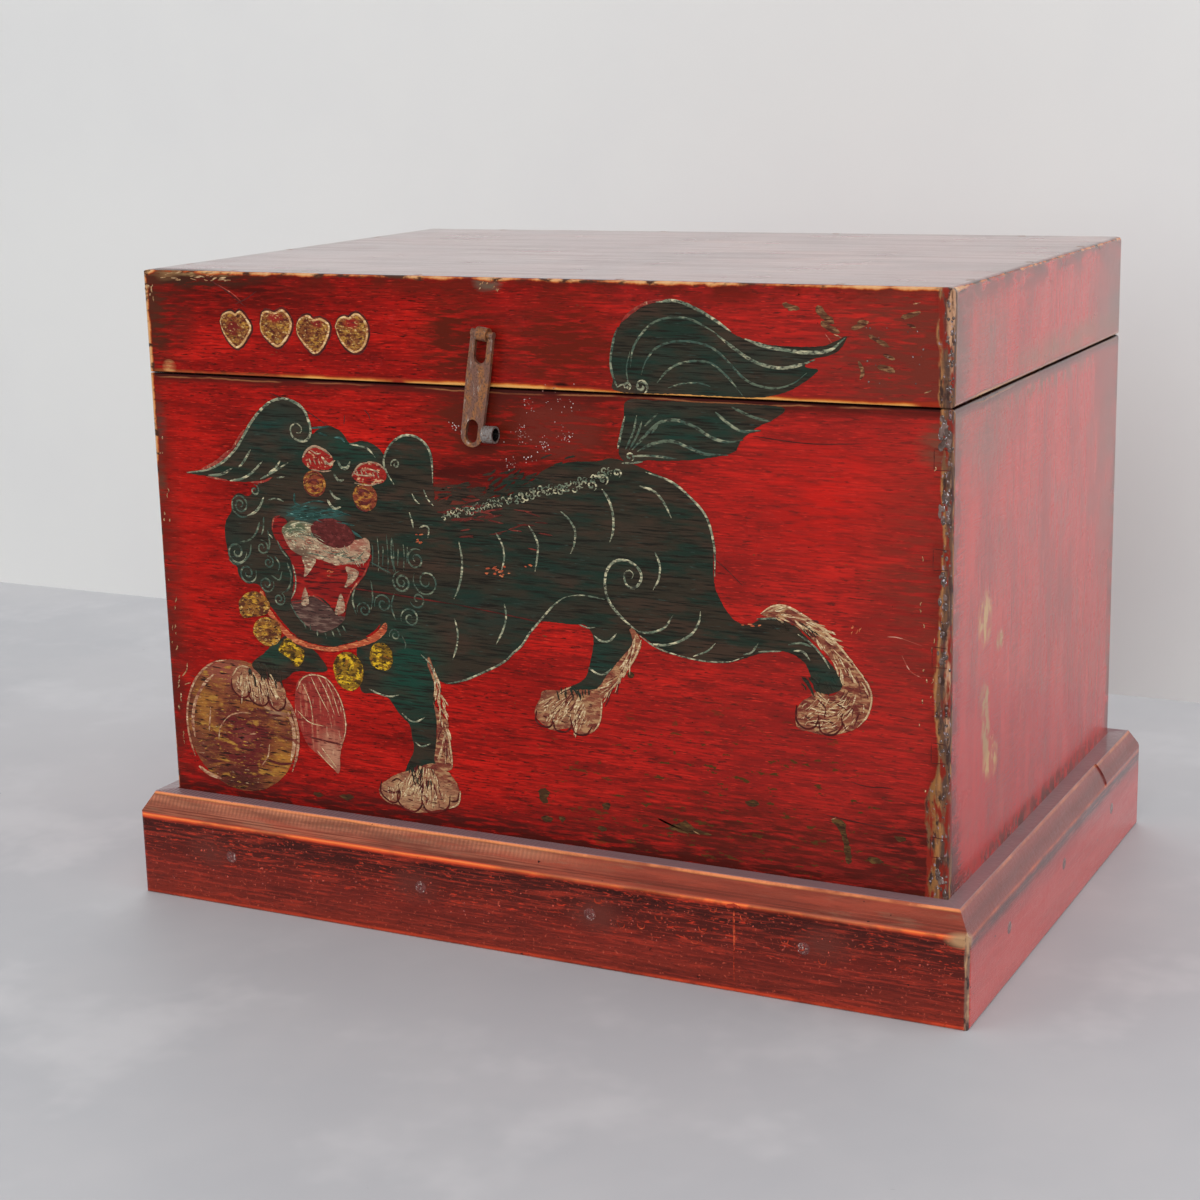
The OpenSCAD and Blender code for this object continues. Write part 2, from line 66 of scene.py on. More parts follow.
class Measure:
    """What a node gives out. It is added to, taken from, multiplied and divided like a number."""

    def __init__(self, finish, outlet):
        self.finish, self.outlet = finish, outlet

    def __add__(self, other):
        return self.finish.join("ADD", self, other)

    def __radd__(self, other):
        return self.finish.join("ADD", other, self)

    def __sub__(self, other):
        return self.finish.join("SUBTRACT", self, other)

    def __rsub__(self, other):
        return self.finish.join("SUBTRACT", other, self)

    def __mul__(self, other):
        return self.finish.join("MULTIPLY", self, other)

    def __truediv__(self, other):
        return self.finish.join("DIVIDE", self, other)

    def __pow__(self, other):
        return self.finish.join("POWER", self, other)

    def __abs__(self):
        return self.finish.node("Math", {0: self}, operation="ABSOLUTE")


class Finish:
    """The nodes of a material, or of the world, while they are laid out. Lengths are in mm on the object."""

    def __init__(self, owner):
        owner.use_nodes = True
        self.owner = owner
        owner.node_tree.nodes.clear()
        if isinstance(owner, bpy.types.Material):
            self.there = self.node("VectorMath", {0: self.node("TexCoord", out="Object"), 1: (1 / MM,) * 3},
                                   operation="MULTIPLY")

    def node(self, kind, feeds=(), out=0, stops=(), **settings):
        """Adds a node with its settings, feeds its sockets with values or measures, and gives back one output."""
        tree = self.owner.node_tree
        made = tree.nodes.new("ShaderNode" + kind)
        for name, value in settings.items():
            setattr(made, name, value)
        for socket, source in dict(feeds).items():
            if isinstance(source, Measure):
                tree.links.new(source.outlet, made.inputs[socket])
            else:
                made.inputs[socket].default_value = source
        for count, (place, code) in enumerate(stops):
            band = made.color_ramp.elements[count] if count < 2 else made.color_ramp.elements.new(place)
            band.position, band.color = place, srgb(code)
        return Measure(self, made.outputs[out]) if made.outputs else None

    def join(self, kind, one, other):
        """Makes one measure of two, by the kind of sum named."""
        return self.node("Math", {0: one, 1: other}, operation=kind)

    def patches(self, size, above, soft=0.04, detail=3, seed=0):
        """1 inside patches that are size mm long along x, y and z, and 0 between them."""
        spread = self.node("Mapping", {"Vector": self.there, "Location": tuple(seed * s for s in SEED_SHIFT),
                                       "Scale": tuple(1 / s for s in size)})
        cloud = self.node("TexNoise", {"Vector": spread, "Scale": 1, "Detail": detail, "Roughness": 0.6})
        return self.near(cloud, above + soft, above - soft)

    def near(self, measure, full, none):
        """1 where a measure is at full or past it, falling to 0 at none."""
        return self.node("MapRange", {"Value": measure, "From Min": none, "From Max": full},
                         interpolation_type="SMOOTHSTEP")

    def stain(self, centre, reach):
        """A round cloud that is 1 at its centre and 0 at its reach."""
        moved = self.node("Mapping", {"Vector": self.there, "Location": tuple(-c / r for c, r in zip(centre, reach)),
                                      "Scale": tuple(1 / r for r in reach)})
        return self.node("TexGradient", {"Vector": moved}, out="Fac", gradient_type="SPHERICAL")

    def coats(self, ground, layers):
        """Lays colours over a ground one by one, each where all of its masks are."""
        ground = srgb(ground) if isinstance(ground, str) else ground
        for code, *masks in layers:
            over = srgb(code) if isinstance(code, str) else code
            share = masks[0]
            for mask in masks[1:]:
                share = share * mask
            ground = self.node("Mix", {0: share, 6: ground, 7: over}, out=2, data_type="RGBA")
        return ground

    def close(self, colour, rough, height, depth, **sockets):
        """Ends a material: colour, roughness, and a relief of depth mm."""
        lifted = self.node("Bump", {"Height": height, "Strength": 1, "Distance": depth * MM})
        shader = self.node("BsdfPrincipled", {"Base Color": colour, "Roughness": rough, "Normal": lifted, **sockets})
        self.node("OutputMaterial", {"Surface": shader})
        return self.owner


def new_finish(name):
    """A material without any nodes but the point on the object."""
    return Finish(bpy.data.materials.new(name))


# The finishes
def lacquered_softwood(name, lid):
    """Oil lacquer brushed in red on softwood boards and rubbed thin: short dark streaks along the grain, arrises worn
    through to orange undercoat and tan wood, brown grime beside them. The top of the lid is a faded mauve, painted
    paler still as a reflection of the pale room. The sides were brushed up and down and kept a thick clear gloss, which
    mirrors a pale room; their red is painted paler and pinker than the front's, most of all high up, as a painted
    sheen."""
    wood = new_finish(name)
    x, y, z = (wood.node("SeparateXYZ", {0: wood.there}, out=axis) for axis in "XYZ")
    from_end = HALF_W - abs(x)
    from_face = HALF_D - abs(y)
    below_top = LID_TOP - z
    outer = wood.join("MINIMUM", from_end, from_face)
    arris = wood.join("MAXIMUM", from_end, from_face)
    if lid:
        # the middle one of the three distances to the outer planes is the distance to the nearest arris
        arris = wood.join("MAXIMUM", outer, wood.join("MINIMUM", arris, below_top))
        outer = wood.join("MINIMUM", outer, below_top)
    wander = wood.node("TexNoise", {"Vector": wood.there, "Scale": 0.05, "Detail": 5, "Roughness": 0.65})
    wide_wander = 0.5 - wood.node("TexNoise", {"Vector": wood.there, "Scale": 0.012, "Detail": 3})
    drift = 0.5 - wander
    arris = arris + drift * 7 + wide_wander * 5
    # the left front arris is the most rubbed, down to below the seam
    left_end = wood.near(x + HALF_W, 5, 16)
    high_up = wood.near(z, 372, 330)
    arris = arris - left_end * high_up * 2.6
    at_hasp = wood.stain((-5, FRONT_Y, SEAM_Z), (80, 60, 60))
    from_seam = abs(z - SEAM_Z)
    seam = from_seam + drift * 2.2 + wide_wander * 4 - at_hasp * 1.6

    fine = wood.patches((20, 20, 1.3), 0.52, 0.14, 4, 1)
    front = wood.coats("#98130e" if lid else "#a61610", [
        ("#7f100c", wood.patches((70, 70, 22), 0.52, 0.12, 4, 2)),
        ("#b81a12", wood.patches((90, 90, 26), 0.57, 0.10, 4, 3)),
        ("#75110d", fine, 0.85),
        ("#5a0e0a", wood.patches((34, 34, 3.6), 0.575, 0.09, 5, 4), 0.7),
        ("#43100c", wood.patches((9, 9, 1.6), 0.63, 0.06, 3, 36)),
        ("#5a0f0b", wood.patches((26, 26, 1.5), 0.615, 0.05, 5, 50), 0.85),
        ("#c3281c", wood.patches((9, 9, 0.9), 0.65, 0.07, 3, 5))])
    front = wood.coats(front, [("#9c3f38", wood.near(x, 330, -120), 0.2)])
    low_down = wood.near(z, 120, 330)
    # the sides: a red painted paler and pinker than the front and darker low down, as a painted sheen brightest high up
    side = wood.coats("#c2251f", [
        ("#b21d1a", low_down),
        ("#a0241f", wood.patches((70, 50, 150), 0.52, 0.16, 3, 16)),
        ("#c83830", wood.patches((30, 26, 110), 0.58, 0.16, 3, 17), 0.6),
        ("#82443a", wood.patches((60, 40, 60), 0.62, 0.12, 4, 18), 0.4),
        ("#7a1f1c", wood.patches((24, 3, 60), 0.56, 0.14, 3, 19), 0.25)])
    # the lid's top: a faded mauve, painted paler as a reflection of the pale room
    top = wood.coats("#8d5650", [
        ("#6d3c38", wood.patches((110, 60, 60), 0.50, 0.12, 3, 2)),
        ("#a17169", wood.patches((140, 30, 60), 0.57, 0.10, 3, 3)),
        ("#5c3330", wood.patches((60, 1.8, 60), 0.55, 0.09, 4, 1)),
        ("#b38d84", wood.patches((40, 1.2, 40), 0.64, 0.05, 3, 5))])
    on_side, on_top = wood.near(from_end, 0.6, 1.8), wood.near(below_top, 0.5, 1.4)
    colour = wood.coats(front, [(side, on_side), (top, on_top)])

    grimy = wood.patches((34, 34, 16), 0.48, 0.10, 4, 8)
    layers = [
        ("#553a22", wood.patches((12, 12, 4), 0.735, 0.012, 4, 6)),
        ("#2f100c", wood.patches((3.5, 3.5, 3.5), 0.77, 0.02, 2, 7)),
        ("#56180f", wood.near(arris, 3, 22), grimy, 0.85)]
    ragged = wood.patches((24, 24, 3.6), 0.49, 0.10, 5, 10) + 0.25
    chipped = wood.patches((9, 7, 13), 0.50, 0.07, 5, 43) + 0.12
    filmy = wood.patches((50, 70, 40), 0.48, 0.20, 2, 49) + 0.35
    for code, centre, reach, strength in STAINS[lid]:
        # on the side the small ones are chipped and the broad ones a film
        torn = [filmy if reach[0] > 30 else chipped, on_side] if centre[0] == HALF_W else [ragged]
        layers.append((code, wood.stain(centre, reach), strength, *torn))

    if not lid:
        # small ragged chips, most of them low on the right
        low_right = wood.stain((170, FRONT_Y, 132), (200, 40, 80)) * 2
        layers.append(("#4a3016", low_right, wood.patches((12, 12, 3.8), 0.635, 0.015, 5, 47)))
    # beside the seam the lid shows a wavy orange line, broadest by the hasp, and the box a painted brown shadow with a
    # tan line
    present = wood.patches((70, 70, 70), 0.42 if lid else 0.50, 0.06, 3, 20)
    if lid:
        right_part = wood.near(x, -175, -205)
        present = present * (right_part + 0.12)
        layers += [("#8a2a16", wood.near(seam, 3, 4.6), right_part),
                   ("#b86428", wood.near(seam, 2.2, 3.2), present),
                   ("#cf9450", wood.near(seam, 1.2, 2.4), present)]
    else:
        layers += [("#4c1711", wood.near(seam, 3, 9), 0.8),
                   ("#8f5a38", wood.near(seam, 2.4, 3.2), present, 0.8),
                   ("#3a1511", wood.near(seam, 1.5, 2.2))]
    # painted shade: the gap at the seam itself is coloured near black
    layers.append(("#1c0907", wood.near(from_seam, 0.7, 1.1)))

    rubbed = wood.node("ValToRGB", {"Fac": arris * 0.25}, stops=[
        (0, "#c8996a"), (0.25, "#bd7f4c"), (0.42, "#a0461f"), (0.62, "#5e1a10")])
    dark_spots = wood.near(arris, 1.8, 4) * wood.patches((12, 12, 5), 0.56, 0.07, 5, 9)
    # the right front corner: a tan line on the arris, set varnish gone dark with pale specks painted on as highlights,
    # an orange line, and bare wood at the foot
    corner = wood.join("MAXIMUM", HALF_W - x, (HALF_D + y) * 2.4) + drift * 7 + wide_wander * 16
    foot = wood.node("MapRange", {"Value": z, "From Min": 178, "From Max": 150, "To Min": 0, "To Max": 7.5})
    bare = wood.near(corner - foot, 7.4, 9)
    banded = wood.node("ValToRGB", {"Fac": corner / 16}, stops=[
        (0, "#b3886a"), (0.08, "#8f6a52"), (0.15, "#4a3630"), (0.30, "#553e34"), (0.44, "#9c6a40"), (0.60, "#8a5c34"),
        (1, "#6c4a2c")])
    tan = wood.coats(banded, [
        ("#6b4a34", wood.patches((3, 3, 20), 0.55, 0.08, 4, 11)),
        ("#3c2a24", wood.patches((5, 5, 14), 0.57, 0.06, 4, 12)),
        # pale lilac specks on the dark varnish: painted highlights
        ("#8c8088", wood.patches((2.2, 2.2, 4), 0.66, 0.04, 3, 39)),
        ("#7a2318", wood.patches((7, 7, 26), 0.55, 0.06, 3, 37))])
    layers += [(rubbed, wood.near(arris, 1.7, 3)), ("#43271c", dark_spots), (tan, bare)]
    pine = wood.coats("#b98d5c", [
        ("#8f6337", wood.patches((160, 160, 3.2), 0.53, 0.06, 3, 13)),
        ("#6e4c2e", wood.patches((60, 60, 25), 0.60, 0.10, 4, 14))])
    inside = wood.node("MapRange", {"Value": outer, "From Min": 5, "From Max": 6.5})
    colour = wood.coats(colour, [*layers, (pine, inside)])
    rough = wood.coats(grey(0.22), [
        ("#909090", wood.patches((60, 60, 40), 0.56, 0.12, 4, 15)),
        ("#c8c8c8", bare), ("#d8d8d8", inside)])
    relief = (fine * -0.3 + wood.node("TexNoise", {"Vector": wood.there, "Scale": 0.16, "Detail": 4})
              + wood.near(corner, 3, 12) * wander)
    dull = (wood.patches((120, 2.6, 60), 0.53, 0.10, 4, 38) * 0.22
            + wood.patches((300, 17, 60), 0.53, 0.09, 5, 46) * 0.16)
    on_corner = wood.node("Math", {0: wood.stain((-HALF_W, FRONT_Y, LID_TOP), (90, 18, 18)), 1: 2.4},
                          operation="MULTIPLY", use_clamp=True)
    # only the side and the top are glossy: less so low down, in dull streaks, and at the handled left corner
    gloss_of_side = on_side * (1 - low_down * 0.35)
    gloss_of_top = on_top * (0.98 - dull)
    gloss = (gloss_of_side + gloss_of_top) * (1 - inside) * (1 - on_corner)
    return wood.close(colour, rough, relief, 0.22, IOR=1.5, **{
        "Specular IOR Level": 0.08, "Coat Weight": gloss, "Coat Roughness": 0.16, "Coat IOR": 1.5})


# brown grime where hands and the hasp have rubbed, on the box and on the lid, and a painted shadow on the box under
# the seam: colour, centre and reach in mm, strength
STAINS = ([
    ("#c01a12", (235, FRONT_Y, 350), (110, 40, 66), 0.45),
    ("#bb1a12", (-292, FRONT_Y, 300), (44, 40, 150), 0.4),
    ("#561a10", (8, FRONT_Y, 388), (105, 40, 46), 1.8),
    ("#63231a", (34, FRONT_Y, 390), (40, 40, 28), 2.2),
    ("#561c12", (-42, FRONT_Y, 390), (38, 40, 28), 1.5),
    ("#30110d", (-36, FRONT_Y, 337), (58, 40, 12), 1.9),
    ("#3f110c", (-40, FRONT_Y, 352), (60, 40, 14), 1.6),
    ("#6c2a20", (296, FRONT_Y, 300), (50, 40, 130), 0.8),
    ("#8a5c44", (320, FRONT_Y, 411), (34, 20, 8), 1.7),
    ("#6e3a2c", (312, FRONT_Y, 392), (20, 30, 22), 1.3),
    ("#4c342a", (-316, FRONT_Y, 376), (11, 40, 30), 1.2),
    ("#57402f", (-316, FRONT_Y, 332), (8, 40, 20), 1.2),
    ("#5a2018", (-318, FRONT_Y, 250), (26, 40, 220), 0.8),
    # darker along the foot of the box's front, just over the plinth
    ("#451410", (0, FRONT_Y, 78), (900, 60, 30), 1.5),
    ("#4a1a12", (170, FRONT_Y, 112), (190, 40, 36), 0.9),
    ("#4b1813", (296, FRONT_Y, 110), (60, 40, 60), 1.2),
    # painted shade: the box's front is darker just under the seam
    ("#4d1712", (120, FRONT_Y, 420), (420, 40, 20), 1.2),
    ("#5c2a20", (-45, FRONT_Y, 333), (60, 40, 20), 1.7),
    ("#4a120d", (-10, FRONT_Y, 350), (80, 40, 22), 1.2),
    ("#7c5044", (HALF_W, -150, 408), (40, 120, 70), 0.75),
    ("#74483c", (HALF_W, 190, 330), (40, 46, 190), 0.7),
    ("#bd8e54", (HALF_W, -139, 261), (20, 18, 22), 2),
    ("#a87c4c", (HALF_W, -103, 238), (20, 10, 9), 1.6),
    ("#a87c4c", (HALF_W, -136, 203), (20, 15, 16), 1.6),
    ("#bd8e54", (HALF_W, -122, 156), (20, 20, 18), 2),
    ("#a87c4c", (HALF_W, -134, 178), (20, 12, 24), 1.7),
    ("#7c4a38", (HALF_W, 0, 408), (20, 230, 12), 1),
    # darker along the foot of the box's side, just over the plinth
    ("#5a2a22", (HALF_W, -10, 86), (20, 260, 12), 1.1),
], [
    ("#54190f", (-44, FRONT_Y, 450), (46, 40, 44), 1.5),
    ("#5e1a10", (36, FRONT_Y, 446), (66, 40, 44), 1.5),
    ("#692a20", (292, FRONT_Y, 450), (76, 40, 60), 1.7),
    ("#480f0a", (-236, FRONT_Y, 480), (140, 40, 30), 1),
    ("#9a6c4c", (320, FRONT_Y, 490), (28, 8, 5), 1.6),
    ("#4c1a12", (-312, FRONT_Y, 462), (44, 40, 60), 1.4),
    ("#b08050", (-300, FRONT_Y, 421), (7, 30, 6), 2),
    ("#5e4a3c", (-20, FRONT_Y, 491), (14, 12, 9), 1.5),
    ("#2a0d0a", (36, FRONT_Y, 418), (9, 20, 5), 2.4),
    ("#3c2016", (-276, FRONT_Y, 492), (84, 16, 13), 2.4),
    ("#7c5a3a", (-304, FRONT_Y, 492), (22, 6, 7), 1.3),
    ("#9c7a50", (-262, FRONT_Y, 493), (36, 5, 4), 1.4),
    ("#4a2418", (-312, FRONT_Y, 470), (16, 30, 44), 1.5),
    ("#84564a", (HALF_W, -170, 452), (40, 90, 60), 0.9),
    ("#784c42", (HALF_W, 190, 450), (40, 90, 60), 0.8),
    ("#7b5a3a", (HALF_W, 60, 428), (40, 190, 16), 0.7),
])


def stained_plinth(name, on_side):
    """Softwood planed and chamfered by hand, stained brown over red: near black under the chamfer, orange where the
    arrises are rubbed, streaks of the red below, and a saw's chatter left on the chamfer."""
    wood = new_finish(name)
    x, y, z = (wood.node("SeparateXYZ", {0: wood.there}, out=axis) for axis in "XYZ")
    spread = wood.node("Mapping", {"Vector": wood.there, "Scale": (0.012, 0.012, 0.03)})
    wander = wood.node("TexNoise", {"Vector": spread, "Scale": 1, "Detail": 6, "Roughness": 0.65})
    off = wander - 0.5
    height = z + off * 9
    # the arrises themselves are straight, so the rubbed lines wander less than the bands between them
    line = z + off * 2
    bands = [(0, "#70241a"), (10, "#74261b"), (28, "#6c2119"), (42, "#561b14"), (53, "#3a1511"),
             (64, "#30100d"), (66.5, "#98553f"), (73, "#a45e46"), (79, "#bc7656")]
    if on_side:
        bands = [(0, "#b82e27"), (12, "#c03a31"), (40, "#bc352d"), (53, "#a62d26"), (59, "#58241f"),
                 (64, "#4c201c"), (66.5, "#7a2f29"), (73, "#6c2822"), (79, "#843630")]

    def by_height(measure, colours):
        """Colours by their height over the floor in mm."""
        return wood.node("ValToRGB", {"Fac": measure / PLINTH_TOP},
                         stops=[(h / PLINTH_TOP, code) for h, code in colours])

    on_face = wood.near(z, CHAMFER_FOOT - 2, CHAMFER_FOOT)
    on_chamfer = wood.near(z, CHAMFER_FOOT + 2.5, CHAMFER_FOOT + 1)
    upper = wood.near(height, 34, 24)
    to_right = wood.near(x, 120, -60)
    # black stands for no line here
    arris_lines = by_height(line, [
        # on the side the foot line is a dark red: painted shade where the plinth meets the floor
        (0, "#6a2018" if on_side else "#d4502e"), (2.8, "#000000" if on_side else "#c03c20"), (4.6, "#000000"),
        (61.2, "#000000"), (63, "#a02c18"), (64.6, "#d8522a"), (65.8, "#e8783a"), (66.8, "#b8402a"), (67.6, "#000000"),
        (79.8, "#000000"), (81.4, "#dc8450"), (82.9, "#c87858"), (PLINTH_TOP, "#000000")])
    lit = wood.node("MapRange", {"Value": arris_lines, "From Min": 0.02, "From Max": 0.20})
    uneven = wood.patches((70, 70, 40), 0.46, 0.16, 5, 21)
    at_foot = wood.near(z, 6, 8)
    # the rubbed lines are fainter at the foot on the left, and broken towards the right
    faint = at_foot * (0.35 - to_right * 0.35)
    broken = to_right * wood.patches((26, 26, 30), 0.50, 0.10, 5, 48) * 0.6
    rubbed = lit * (0.45 if on_side else 1) * (0.35 + uneven) * (1 - faint) * (1 - broken)
    streaks = wood.patches((32, 32, 1.8), 0.56, 0.10, 5, 22)
    chatter = wood.node("TexWave", {"Vector": wood.there, "Scale": 0.088, "Distortion": 1, "Detail": 2},
                        out="Fac", bands_direction="Y" if on_side else "X")
    chattered = wood.near(z, 75, 71) * chatter * (1 - to_right)
    layers = [
        ("#4a1a15", wood.patches((120, 120, 10), 0.53, 0.10, 5, 25), 0.12 if on_side else 0.6),
        ("#cc5448" if on_side else "#9e3020", streaks, on_face, 0.3 if on_side else 0.7)]
    if not on_side:
        low_chamfer = wood.near(z, 70, 76)
        layers += [("#b8341f", wood.patches((8, 8, 1.7), 0.64, 0.05, 3, 23), on_face, upper, 0.9),
                   ("#b24a36", wood.patches((2.6, 2.6, 2.2), 0.67, 0.05, 2, 44), on_face, 0.75),
                   ("#4e1a15", wood.patches((6, 6, 1.5), 0.60, 0.08, 4, 45), on_face, 0.6),
                   ("#7c2e20", to_right, on_chamfer, 0.88),
                   ("#6e4030", chattered, 0.5),
                   ("#622a1e", wood.patches((150, 150, 0.9), 0.50, 0.08, 3, 24), on_chamfer, low_chamfer, 0.85),
                   ("#9c402c", wood.patches((50, 50, 5), 0.58, 0.10, 4, 40), on_chamfer, 0.5),
                   ("#846850", wood.patches((34, 34, 4), 0.62, 0.08, 4, 28), on_chamfer, 0.25)]
        # putty over the sunk nails has smeared brown round them
        smeared = 0.4 + uneven
        layers += [("#602a22", wood.stain((nail_x, -PLINTH_HALF_D, nail_z), (26, 20, 17)), smeared)
                   for nail_x, nail_z in NAILS_SEEN]
    # the right front corner has lost its stain and gathered varnish
    corner = wood.join("MAXIMUM", PLINTH_HALF_W - x, PLINTH_HALF_D + y) + off * 3
    crust = wood.coats("#77584a", [("#ab8664", wood.patches((4, 4, 18), 0.54, 0.08, 3, 29)),
                                   ("#352624", wood.patches((5, 5, 12), 0.60, 0.06, 3, 30))])
    layers += [
        (arris_lines, rubbed),
        ("#a8805c", wood.stain((338, -PLINTH_HALF_D, 64), (15, 10, 6.5)), 1.7),
        (crust, wood.near(corner, 2.4, 3.4)),
        ("#2b1210", wood.patches((5, 5, 4), 0.72, 0.02, 3, 26)),
        ("#7e6264", wood.near(PLINTH_TOP - 0.05 - z, 0, 0.6))]
    colour = wood.coats(by_height(height, bands), layers)
    rough = wood.coats(grey(0.34), [("#b0b0b0", wood.patches((50, 50, 12), 0.54, 0.1, 4, 27))])
    relief = (streaks * 0.4 + wood.node("TexNoise", {"Vector": wood.there, "Scale": 0.25, "Detail": 5})
              + chattered * 0.8)
    return wood.close(colour, rough, relief, 0.4, IOR=1.5, **{
        "Specular IOR Level": 0.15, "Coat Weight": 1 if on_side else 0, "Coat Roughness": 0.18})


def bare_pine(name):
    """Planed pine left bare: pale tan with long brown grain lines and handling dirt, quite matt."""
    wood = new_finish(name)
    grain = wood.patches((180, 3, 180), 0.53, 0.07, 4, 31)
    colour = wood.coats("#bb9160", [
        ("#8d6338", grain), ("#6c4b2e", wood.patches((70, 30, 70), 0.58, 0.1, 4, 32)),
        ("#4d3320", wood.patches((9, 5, 9), 0.74, 0.02, 2, 33))])
    return wood.close(colour, 0.68, grain, 0.25, IOR=1.45)


def forged_iron(name, tint="#80594a", rust=0.52, hole=None):
    """Iron forged by hand and rusted to a thin brown skin: orange bloom, dark scale, grey where fingers polish it.
    hole is the y, z and radius in mm of an eye whose inside is painted near black, as shade."""
    iron = new_finish(name)
    pits = iron.patches((1.3, 1.3, 1.6), 0.56, 0.10, 4, 41)
    layers = [
        ("#a0683e", iron.patches((6, 6, 14), rust, 0.08, 4, 42)),
        ("#66493a", pits),
        ("#b5a294", iron.patches((3, 3, 12), 0.63, 0.06, 4, 43))]
    if hole:
        hole_y, hole_z, radius = hole
        y, z = (iron.node("SeparateXYZ", {0: iron.there}, out=axis) for axis in "YZ")
        away = (y - hole_y) ** 2 + (z - hole_z) ** 2
        # painted shade: the inside of the staple's eye is coloured near black
        layers.append(("#120c0a", iron.near(away, radius ** 2, (radius + 0.35) ** 2)))
    rough = iron.coats(grey(0.46), [("#505050", iron.patches((3, 3, 12), 0.60, 0.06, 4, 43))])
    return iron.close(iron.coats(tint, layers), rough, 1 - pits, 0.15, Metallic=0.45)


def wood_filler(name):
    """Putty pressed over a sunk nail and varnished: red-brown, lumpy, with small grey painted highlights."""
    putty = new_finish(name)
    lumps = putty.patches((3, 3, 3), 0.50, 0.15, 4, 51)
    colour = putty.coats("#541c15", [
        # pale grey spots: painted highlights
        ("#70302a", lumps), ("#b49c92", putty.patches((1.8, 1.8, 1.8), 0.60, 0.05, 4, 52))])
    return putty.close(colour, 0.36, lumps, 0.5, IOR=1.5, **{
        "Specular IOR Level": 0.2, "Coat Weight": 1, "Coat Roughness": 0.18})


def brushed_paint(name, ground, strokes, relief=0.12, rough=0.42, spots=()):
    """Thick oil paint put on with a hog-hair brush and rubbed down since: the board's grain shows through as streaks.
    strokes lists the colours over the ground: code, length and height in mm, how rare, how soft. spots lists soft
    clouds of a colour: code, centre and reach in x and z in mm, strength."""
    paint = new_finish(name)
    bristle = paint.patches((14, 14, 0.9), 0.5, 0.2, 4, 61)
    smoky = paint.patches((26, 26, 9), 0.48, 0.16, 4, 60) + 0.3
    layers = [(code, paint.patches((long, long, high), above, soft, 4, 62 + k))
              for k, (code, (long, high), above, soft) in enumerate(strokes)]
    # the clouds lie over the two broadest strokes and under the fine ones
    layers[2:2] = [(code, paint.stain((x, FRONT_Y, z), (reach_x, 60, reach_z)), strength, smoky)
                   for code, x, z, reach_x, reach_z, strength in spots]
    return paint.close(paint.coats(ground, layers), rough, bristle, relief, IOR=1.5, **{"Specular IOR Level": 0.16})


RED = lacquered_softwood("lacquered_softwood_of_box", lid=False)
RED_LID = lacquered_softwood("lacquered_softwood_of_lid", lid=True)
PLINTH = stained_plinth("stained_softwood_of_plinth", on_side=False)
PLINTH_SIDE = stained_plinth("stained_softwood_of_plinth_side", on_side=True)
PINE = bare_pine("bare_planed_pine")
IRON = forged_iron("rusted_forged_iron")
GREY_IRON = forged_iron("rubbed_forged_iron", "#8a8480", 0.66, (LOCK_EYE[1], LOCK_EYE[2], 4.6))
FILLER = wood_filler("varnished_wood_filler")

# the lion's dark coat: lamp black over green earth, the green coming through in clouds along the grain
COAT = brushed_paint("brushed_green_black_paint", "#31281d", [
    ("#1b2a20", (60, 12), 0.54, 0.08), ("#3b2b20", (50, 14), 0.55, 0.08),
    ("#191610", (24, 1.4), 0.57, 0.10), ("#31423a", (9, 1), 0.68, 0.06),
    ("#54241b", (4, 2), 0.75, 0.03)], spots=[
    ("#17322a", -215, 378, 50, 30, 0.9), ("#2c4a42", -178, 315, 36, 9, 1.5), ("#17382c", -150, 366, 46, 14, 1.1),
    ("#14382b", -98, 206, 40, 52, 1.3),
    ("#173d2e", -225, 205, 26, 18, 1.1), ("#183228", 130, 392, 60, 22, 1.1), ("#183027", 150, 440, 110, 36, 0.7),
    ("#182c24", 40, 300, 120, 50, 0.5), ("#183228", 62, 225, 30, 30, 1), ("#182c24", -30, 255, 80, 26, 0.8),
    ("#183228", 235, 225, 24, 24, 1), ("#182c24", -250, 285, 26, 40, 0.6)])
# thin cream lines that the brush has skipped over the grain
LINE = brushed_paint("brushed_cream_line_paint", "#86866e", [
    ("#5f6b58", (20, 6), 0.50, 0.08), ("#34342b", (2.6, 1.4), 0.53, 0.07),
    ("#bfb693", (8, 3), 0.57, 0.06)], 0.2)
# the same, thinned with green: the quiet lines of the mane and the tail
DIM_LINE = brushed_paint("brushed_grey_green_line_paint", "#56614f", [
    ("#3a4e43", (30, 8), 0.50, 0.08), ("#2b2d24", (2.8, 1.4), 0.54, 0.07),
    ("#86886f", (10, 4), 0.60, 0.05)], 0.2)
# cream fur dabbed over a flesh red
FUR = brushed_paint("brushed_flesh_red_fur_paint", "#854a34", [
    ("#6a2c22", (11, 5), 0.53, 0.07), ("#a87c56", (9, 3.4), 0.54, 0.06),
    ("#481e18", (6, 1.3), 0.60, 0.04)], 0.3, spots=[
    ("#a87e5c", -94, 107, 40, 18, 1.2), ("#a67c5a", -236, 176, 28, 16, 1.1), ("#9c7452", 32, 186, 26, 16, 0.8)])
# the cream of the fur in short dry dabs, broken by the red below
PALE_FUR = brushed_paint("brushed_cream_fur_paint", "#ba9a72", [
    ("#96664c", (6, 2.6), 0.57, 0.06), ("#dcc69e", (4, 1.4), 0.57, 0.05),
    ("#6a3c2e", (3, 1.2), 0.64, 0.04)], 0.3)
# cream laid thick on the muzzle and the teeth
CREAM = brushed_paint("brushed_cream_paint", "#a3856a", [
    ("#8c5240", (8, 3), 0.55, 0.06), ("#5a4a3c", (3, 1.3), 0.58, 0.05),
    ("#cfbd98", (6, 1.6), 0.60, 0.05)], 0.3, spots=[
    ("#50583f", -196, 304, 20, 12, 1.6), ("#66503f", -190, 284, 16, 8, 1.3), ("#9a5c4a", -140, 296, 16, 8, 1.2)])
